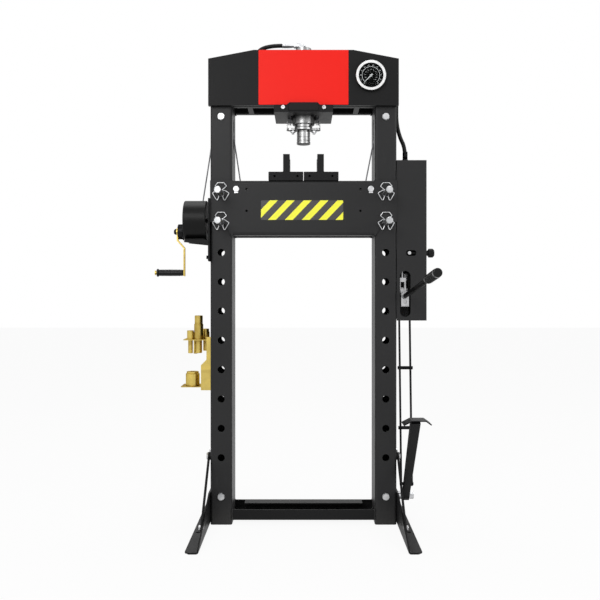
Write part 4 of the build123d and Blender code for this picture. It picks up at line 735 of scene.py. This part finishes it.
def figure(text, height, x, y, z):
    """Flat raised figure facing the front, centred on a point."""
    curve = bpy.data.curves.new("figure", 'FONT')
    curve.body = text
    curve.size = height * FONT_SIZE
    curve.align_x = 'CENTER'
    curve.align_y = 'CENTER'
    curve.extrude = FIGURE_EXTRUDE
    carrier = link_object("figure", curve)
    mesh = bpy.data.meshes.new_from_object(carrier.evaluated_get(bpy.context.evaluated_depsgraph_get()))
    bpy.data.objects.remove(carrier)
    mesh.transform(at(x, y, z, '-Y'))
    return painted(mesh, "White print")


INK_RISE = 0.0001        # the figures stand this far off the dial, the marks a little further
MARK_RISE = 0.00015
MARK_DEPTH = 0.0002
ARC_HALF_WIDTH = 0.0006
MINOR_PER_MAJOR = 5
OUTER_ROW = dict(step=5, beyond=0.0062, height=0.0040)
INNER_ROW = dict(step=10, beyond=-0.0105, height=0.0029)
BRIGHT_RING = dict(inner=0.0462, outer=0.0562, depth=0.0030)
BRIGHT_RING_INSET = 0.0024


class PRESS_OT_gauge_face(bpy.types.Operator):
    """Scale, figures and bright ring of the pressure gauge"""
    bl_idname = "press.gauge_face"
    bl_label = "Gauge face"

    def execute(self, context):
        gauge = context.scene.press_gauge
        face_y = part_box("gauge_dial")[0][1]
        middle = centre("gauge_dial")
        on_dial = at(middle.x, face_y - MARK_RISE, middle.z, '-Y')
        arc = flat_ring("arc", gauge.arc - ARC_HALF_WIDTH, gauge.arc + ARC_HALF_WIDTH, MARK_DEPTH, 90,
                        gauge.start, -gauge.sweep)
        arc.transform(at(middle.x, face_y, middle.z, '-Y'))
        minor = (gauge.outer - 1) * MINOR_PER_MAJOR + 1
        parts = [
            painted(arc, "White print"),
            grown("major", "Blocks in a ring", "White print", on_dial, Count=gauge.outer, Start=gauge.start,
                  Sweep=-gauge.sweep, Radius=gauge.arc + 0.0012, Size=(0.0024, 0.0008, MARK_DEPTH)),
            grown("minor", "Blocks in a ring", "White print", on_dial, Count=minor, Start=gauge.start,
                  Sweep=-gauge.sweep, Radius=gauge.arc + 0.0009, Size=(0.0012, 0.0003, MARK_DEPTH)),
        ]
        for count, row in ((gauge.outer, OUTER_ROW), (gauge.inner, INNER_ROW)):
            radius = gauge.arc + row["beyond"]
            for n in range(count):
                turn = gauge.start - gauge.sweep * n / (count - 1)
                parts.append(figure(str(n * row["step"]), row["height"], middle.x + radius * math.cos(turn),
                                    face_y - INK_RISE, middle.z + radius * math.sin(turn)))
        settle("gauge_scale", joined("gauge_scale", parts), "frame")
        case_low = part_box("gauge_case")[0][1]
        ring = flat_ring("gauge_bright_ring", **BRIGHT_RING)
        ring.transform(at(middle.x, case_low + BRIGHT_RING_INSET, middle.z, '-Y'))
        settle("gauge_bright_ring", ring, "frame", "Satin ring", smooth=False,
               bevel=(0.0011, 3))
        return {'FINISHED'}


class PRESS_OT_return_springs(bpy.types.Operator):
    """Wound springs between the yoke and the carriage"""
    bl_idname = "press.return_springs"
    bl_label = "Return springs"

    def execute(self, context):
        spring = context.scene.press_springs
        low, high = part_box("return_springs")
        outer = (high[1] - low[1]) / 2
        radius = outer - spring.wire
        height = high[2] - low[2] - 2 * spring.wire
        coils = []
        for side in (-1, 1):
            place_coil = at(side * (high[0] - outer), 0, low[2] + spring.wire)
            coils.append(grown("coil", "Wound wire", "Wire rope steel", place_coil, Turns=spring.turns,
                               Radius=radius, Height=height, Wire=spring.wire, Steps=22))
        piece = settle("wound_return_springs", joined("wound_return_springs", coils),
                       None, smooth=True)
        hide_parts("return_springs")
        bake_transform(piece)
        return {'FINISHED'}


HOSE_TOP_Z = 1.844
PUMP_END = (0.396, 0, 1.400)
HOSE_ROUTE = (
    (-0.082, 0, HOSE_TOP_Z), (-0.148, 0, HOSE_TOP_Z), (-0.190, 0.010, 1.812), (-0.214, 0.026, 1.765),
    (-0.232, 0.038, 1.7296), (-0.190, 0.062, 1.712), (-0.090, 0.064, 1.716), (0.040, 0.063, 1.718),
    (0.180, 0.064, 1.716), (0.300, 0.062, 1.722), (0.366, 0.062, 1.716), (0.371, 0.066, 1.640),
    (0.369, 0.060, 1.560), (0.378, 0.030, 1.495), (0.396, 0, 1.446), PUMP_END,
)
FERRULE_RADIUS = 0.0095
FERRULE_LENGTH = 0.030


def round_cord(name, route, radius, resolution):
    """Round tube along a smooth curve with these control points."""
    curve = bpy.data.curves.new(name, 'CURVE')
    curve.dimensions = '3D'
    spline = curve.splines.new('NURBS')
    spline.points.add(len(route) - 1)
    for point, spot in zip(spline.points, route):
        point.co = (*spot, 1.0)
    spline.order_u = 3
    spline.use_endpoint_u = True
    spline.resolution_u = resolution
    curve.bevel_depth = radius
    curve.bevel_resolution = 4
    curve.use_fill_caps = True
    carrier = link_object(name + "_path", curve)
    mesh = bpy.data.meshes.new_from_object(carrier.evaluated_get(bpy.context.evaluated_depsgraph_get()))
    bpy.data.objects.remove(carrier)
    mesh.name = name
    return mesh


class PRESS_OT_pressure_hose(bpy.types.Operator):
    """Flexible hose from the cylinder to the pump, with crimped ends"""
    bl_idname = "press.pressure_hose"
    bl_label = "Pressure hose"

    def execute(self, context):
        hose = context.scene.press_hose
        mesh = painted(round_cord("flexible_hose", HOSE_ROUTE, hose.radius, 14), "Hose rubber")
        piece = settle("flexible_hose", mesh, None, smooth=True)
        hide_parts("hose_loop", "pressure_hose")
        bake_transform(piece)
        top = grown("top_crimps", "Rings in a row", "Bright zinc", at(-0.0815, 0, HOSE_TOP_Z, 'X'),
                    Count=hose.crimps, Pitch=0.0062, Radius=0.0096, Bead=0.0009)
        settle("top_ferrule_crimps", top, "carriage", smooth=True)
        x, y, foot = PUMP_END
        sleeve = flat_ring("pump_ferrule", hose.radius - 0.0002, FERRULE_RADIUS, FERRULE_LENGTH, 40)
        sleeve.transform(at(x, y, foot + 0.0001))
        rings = grown("pump_crimps", "Rings in a row", "Black oxide", at(x, y, foot + 0.0035),
                      Count=hose.crimps, Pitch=0.0055, Radius=FERRULE_RADIUS, Bead=0.0008)
        settle("pump_ferrule", joined("pump_ferrule", [painted(sleeve, "Black oxide"), rings]),
               "frame", smooth=True)
        return {'FINISHED'}


ROPE_RADIUS = 0.0025
DRUM_TURNS = 6.0
RATCHET = dict(Count=18, Radius=0.0292, Sweep=2 * math.pi * 17 / 18, Size=(0.0056, 0.0042, 0.0050), Lean=0.5)
RATCHET_X = -0.4640
PINION_DROP = 0.015      # from the top of the crank arm to the pinion's middle
BRACKET_BOLTS = dict(Across=0.013, Head=0.007, Washer=0.0095)
BRACKET_BOLT_ROW = (-0.3602, -0.0475, 1.016)
BRACKET_BOLT_HALF = 0.0375


class PRESS_OT_winch_dressing(bpy.types.Operator):
    """Cable turns on the drum, ratchet teeth and bracket bolts of the winch"""
    bl_idname = "press.winch_dressing"
    bl_label = "Winch dressing"

    def execute(self, context):
        low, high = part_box("wound_cable")
        middle = centre("wound_cable")
        turned = grown("turns", "Wound wire", "Wire rope steel",
                       at(low[0] + ROPE_RADIUS, middle.y, middle.z, 'X'), Turns=DRUM_TURNS,
                       Radius=(high[2] - low[2]) / 2 - ROPE_RADIUS,
                       Height=high[0] - low[0] - 2 * ROPE_RADIUS, Wire=ROPE_RADIUS, Steps=48)
        piece = settle("drum_cable_turns", turned, "drum", smooth=True)
        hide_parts("wound_cable")
        pinion_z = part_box("crank_arm")[1][2] - PINION_DROP
        teeth = grown("teeth", "Blocks in a ring", "Black oxide",
                      at(RATCHET_X, centre("crank_grip").y, pinion_z, 'X'), **RATCHET)
        settle("ratchet_teeth", teeth, "crank", smooth=False)
        bolt_seed = mesh_from("bracket_bolts_seed", [(-BRACKET_BOLT_HALF, 0, 0), (BRACKET_BOLT_HALF, 0, 0)])
        bolt_row = at(*BRACKET_BOLT_ROW, '-X') @ Matrix.Rotation(math.pi / 2, 4, 'Z')
        bolts = grown("bolts", "Hex fasteners", "Black oxide", bolt_row, bolt_seed, **BRACKET_BOLTS)
        settle("winch_bracket_bolts", bolts, "frame", smooth=False)
        return {'FINISHED'}


def seam(points_sets):
    """Edge mesh of open polylines, for the weld tree."""
    vertices, edges = [], []
    for line in points_sets:
        first = len(vertices)
        vertices += line
        edges += [(first + n, first + n + 1) for n in range(len(line) - 1)]
    return mesh_from("seam", vertices, edges=edges)


BOX_SEAM_Z = (1.05, 1.11)          # middle run of the seam between pump box and upright
CROSS_SEAM_Z = (0.022, 0.056)      # upright runs at the ends of the front crossmember
BACK_SEAM_Z = (0.022, 0.052)
VEE_SEAM_X = (0.0525, 0.0775)      # both sides of each upstanding vee plate
VEE_SEAM_Z = 1.341
RACK_SEAM_X = -0.3575
RACK_SEAM_Y = (-0.047, 0.038)
RACK_SHELF_Z = (0.699, 0.519)
RACK_LEG = 0.0022


class PRESS_OT_weld_beads(bpy.types.Operator):
    """Coated weld beads where the plates of the frame and the rack meet"""
    bl_idname = "press.weld_beads"
    bl_label = "Weld beads"

    def execute(self, context):
        weld = context.scene.press_welds
        upright_low, upright_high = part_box("right_upright")
        box_low, box_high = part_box("pump_box")
        seam_x = upright_high[0] + 0.0004
        lines = []
        for low, high in ((box_low[2] + 0.04, box_low[2] + 0.10), BOX_SEAM_Z,
                          (box_high[2] - 0.10, box_high[2] - 0.04)):
            for y in (box_low[1] + 0.0012, box_high[1] - 0.0012):
                lines.append([(seam_x, y, low), (seam_x, y, high)])
        cross_low, cross_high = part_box("lower_back_crossmember")
        front_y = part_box("lower_front_crossmember")[0][1]
        for x in (-upright_low[0], upright_low[0]):
            lines.append([(x, front_y, z) for z in CROSS_SEAM_Z])
            lines.append([(x, cross_high[1], z) for z in BACK_SEAM_Z])
            lines.append([(x, y, cross_high[2]) for y in (cross_high[1] - 0.010, cross_low[1] + 0.05)])
        vee_low, vee_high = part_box("vee_blocks")
        for side in (-1, 1):
            for x in VEE_SEAM_X:
                lines.append([(side * x, y, VEE_SEAM_Z) for y in (vee_low[1] + 0.010, vee_high[1] - 0.010)])
        beads = grown("beads", "Weld bead", "Frame coat", seed_mesh=seam(lines), Leg=weld.leg,
                      Ripple=weld.ripple)
        settle("frame_weld_beads", beads, "frame", smooth=True)
        rack_lines = [[(RACK_SEAM_X, y, z) for y in RACK_SEAM_Y] for z in RACK_SHELF_Z]
        rack_beads = grown("rack_beads", "Weld bead", "Yellow zinc plate", seed_mesh=seam(rack_lines),
                           Leg=RACK_LEG, Ripple=weld.ripple)
        settle("rack_weld_beads", rack_beads, "frame", smooth=True)
        return {'FINISHED'}


BOLT_X = 0.313
BOLT_Z = (0.107, 1.551)
BOLT_WASHER = dict(inner=0.0100, outer=0.0136, depth=0.0024, segments=40)
YOKE_BOLT_X = 0.041
THREAD_Z = 1.4993
THREAD = dict(Count=5, Pitch=0.0012, Radius=0.0050, Bead=0.00045)


class PRESS_OT_washers(bpy.types.Operator):
    """Washers under the large frame bolts and the thread ends that show"""
    bl_idname = "press.washers"
    bl_label = "Washers"

    def execute(self, context):
        zinc = "Bright zinc"
        rings = []
        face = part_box("left_upright")[0][1]
        for x in (-BOLT_X, BOLT_X):
            for z in BOLT_Z:
                for y, axis in ((face, '-Y'), (-face, 'Y')):
                    ring = flat_ring("washer", **BOLT_WASHER)
                    ring.transform(at(x, y, z, axis))
                    rings.append(painted(ring, zinc))
        settle("frame_washers", joined("frame_washers", rings), "frame", smooth=False,
               bevel=(0.0005, 2))
        threads = [grown("thread", "Rings in a row", zinc, at(x, 0, THREAD_Z), **THREAD)
                   for x in (-YOKE_BOLT_X, YOKE_BOLT_X)]
        settle("yoke_bolt_threads", joined("yoke_bolt_threads", threads), "ram",
               smooth=True)
        return {'FINISHED'}


CRANK_RIBS = dict(Count=14, Pitch=0.0055, Radius=0.0122, Bead=0.0008)
CRANK_RIB_START = 0.016          # from the grip's outer end
LEVER_RISE = math.radians(6.1)
LEVER_ROOT = Vector((0.3865, -0.048, 0.867))
LEVER_END_Y = -0.775
LEVER_RIBS = dict(Count=24, Pitch=0.0058, Radius=0.0138, Bead=0.0010)
LEVER_RIB_START = 0.150          # from the lever's end, back along it
KNOB_PLACE = (-0.059, 1.033)     # y and z of the release rod
KNURL = dict(Count=30, Radius=0.0163, Sweep=2 * math.pi * 29 / 30, Size=(0.0016, 0.0015, 0.0140))
KNURL_MIDDLE = 0.0138            # from the knob's outer end
PIN_CAP = dict(inner=0.0008, outer=0.0062, depth=0.0022, segments=32)
PIN_CAP_X = 0.4024


class PRESS_OT_grips(bpy.types.Operator):
    """Ribs of the two hand grips and the knurl of the release knob"""
    bl_idname = "press.grips"
    bl_label = "Grips"

    def execute(self, context):
        black = "Glossy grip"
        start_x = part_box("crank_grip")[0][0] + CRANK_RIB_START
        rib_place = at(start_x, *centre("crank_grip").yz, 'X')
        ribs = grown("crank_ribs", "Rings in a row", black, rib_place, **CRANK_RIBS)
        settle("crank_grip_ribs", ribs, "crank_handle", smooth=True)
        run = Vector((0, -math.cos(LEVER_RISE), math.sin(LEVER_RISE)))
        reach = (LEVER_ROOT.y - LEVER_END_Y) / math.cos(LEVER_RISE)
        turn = run.to_track_quat('Z', 'Y').to_matrix().to_4x4()
        place_rib = Matrix.Translation(LEVER_ROOT + run * (reach - LEVER_RIB_START)) @ turn
        lever_ribs = grown("lever_ribs", "Rings in a row", black, place_rib, **LEVER_RIBS)
        settle("lever_grip_ribs", lever_ribs, "pump_lever", smooth=True)
        rod_low, rod_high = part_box("release_rod")
        knob_y, knob_z = KNOB_PLACE
        knurl = grown("knurl", "Blocks in a ring", black,
                      at(rod_high[0] - KNURL_MIDDLE, knob_y, knob_z, 'X'), **KNURL)
        settle("release_knob_knurl", knurl, "release_valve", smooth=False)
        cap = flat_ring("release_pin_cap", **PIN_CAP)
        cap.transform(at(PIN_CAP_X, rod_low[1], knob_z, '-Y'))
        settle("release_pin_cap", painted(cap, "Bright zinc"), "release_valve",
               smooth=False)
        return {'FINISHED'}


# Stage

def lamp(name, location, aim, power, size_x, size_y):
    data = bpy.data.lights.new(name, 'AREA')
    data.shape = 'RECTANGLE'
    data.size = size_x
    data.size_y = size_y
    data.energy = power
    obj = link_object(name, data)
    obj.location = location
    obj.rotation_euler = (Vector(aim) - Vector(location)).to_track_quat('-Z', 'Y').to_euler()


def seen_white(tree, lit, white):
    """Mix factor that is 1 for what the camera, gloss and glass see."""
    path = add(tree, 'ShaderNodeLightPath').outputs
    seen = maths(tree, 'MAXIMUM', path['Is Camera Ray'],
                 maths(tree, 'MAXIMUM', path['Is Glossy Ray'], path['Is Transmission Ray']))
    return add(tree, 'ShaderNodeMixShader', {0: seen, 1: lit, 2: white})


FLOOR_HALF = 14.0
FLOOR_GLOW = 0.93        # share of plain white in the floor as the camera sees it
SKY_POWER = 0.48         # what the sky lights the press with
PICTURE = 600
PICTURE_SHIFT = (-3.5, -13.0)    # pixels of the photo's centre off the lens's


class PRESS_OT_stage(bpy.types.Operator):
    """Pale floor, soft light and the camera in front of the press"""
    bl_idname = "press.stage"
    bl_label = "Stage"

    def execute(self, context):
        scene = context.scene
        stage = scene.press_stage
        corners = [(x * FLOOR_HALF, y * FLOOR_HALF, 0) for x, y in ((-1, -1), (1, -1), (1, 1), (-1, 1))]
        floor = link_object("floor", mesh_from("floor", corners, [(0, 1, 2, 3)]))
        floor_finish = bpy.data.materials.new("Pale floor")
        tree = bare_tree(floor_finish)
        matt = add(tree, 'ShaderNodeBsdfDiffuse', {'Color': (0.86, 0.86, 0.86, 1)})
        glow = add(tree, 'ShaderNodeEmission', {'Color': (1, 1, 1, 1), 'Strength': 1.0})
        soft = add(tree, 'ShaderNodeMixShader', {0: FLOOR_GLOW, 1: matt, 2: glow})
        add(tree, 'ShaderNodeOutputMaterial', {'Surface': seen_white(tree, matt, soft)})
        floor.data.materials.append(floor_finish)
        scene.world = bpy.data.worlds.new("Studio")
        sky = bare_tree(scene.world)
        dim = add(sky, 'ShaderNodeBackground', {'Color': (1, 1, 1, 1), 'Strength': SKY_POWER})
        white = add(sky, 'ShaderNodeBackground', {'Color': (1, 1, 1, 1), 'Strength': 1.0})
        add(sky, 'ShaderNodeOutputWorld', {'Surface': seen_white(sky, dim, white)})
        lamp("Front soft light", (-1.3, -3.4, 2.6), (0, 0, 1.0), stage.key, 1.8, 1.8)
        lamp("Right soft light", (3.0, -1.8, 1.8), (0, 0, 1.0), stage.key * 0.6, 1.4, 2.2)
        lamp("Top soft light", (0, 0.4, 3.8), (0, 0, 1.2), stage.key * 0.8, 2.2, 1.6)
        camera = bpy.data.cameras.new("Front camera")
        camera.lens = stage.lens
        camera.sensor_width = 36.0
        camera.shift_x, camera.shift_y = (shift / PICTURE for shift in PICTURE_SHIFT)
        viewer = link_object("Front camera", camera)
        viewer.location = (0, -stage.distance, stage.height)
        viewer.rotation_euler = (math.pi / 2, 0, 0)
        scene.camera = viewer
        scene.view_settings.view_transform = 'Standard'
        return {'FINISHED'}


OPERATORS = (
    PRESS_OT_finishes, PRESS_OT_trees, PRESS_OT_hazard_label, PRESS_OT_gauge_face, PRESS_OT_return_springs,
    PRESS_OT_pressure_hose, PRESS_OT_winch_dressing, PRESS_OT_weld_beads, PRESS_OT_washers, PRESS_OT_grips,
    PRESS_OT_stage,
)

SETTINGS = {
    "press_paint": PaintSettings, "press_label": LabelSettings, "press_gauge": GaugeSettings,
    "press_springs": SpringSettings, "press_hose": HoseSettings, "press_welds": WeldSettings,
    "press_stage": StageSettings,
}


class VIEW3D_PT_press(bpy.types.Panel):
    """Sizes and colours of the press, and the steps that build its pieces"""
    bl_label = "Press"
    bl_space_type = 'VIEW_3D'
    bl_region_type = 'UI'
    bl_category = "Press"

    def draw(self, context):
        for name, kind in SETTINGS.items():
            box = self.layout.box()
            for field in kind.__annotations__:
                box.prop(getattr(context.scene, name), field)
        for operator in OPERATORS:
            self.layout.operator(operator.bl_idname)


def register():
    for kind in (*SETTINGS.values(), *OPERATORS, VIEW3D_PT_press):
        bpy.utils.register_class(kind)
    for name, kind in SETTINGS.items():
        setattr(bpy.types.Scene, name, bpy.props.PointerProperty(type=kind))


def unregister():
    for name in SETTINGS:
        delattr(bpy.types.Scene, name)
    for kind in reversed((*SETTINGS.values(), *OPERATORS, VIEW3D_PT_press)):
        bpy.utils.unregister_class(kind)


def main():
    register()
    for operator in OPERATORS:
        group, step = operator.bl_idname.split(".")
        getattr(getattr(bpy.ops, group), step)()


if __name__ == "__main__":
    main()
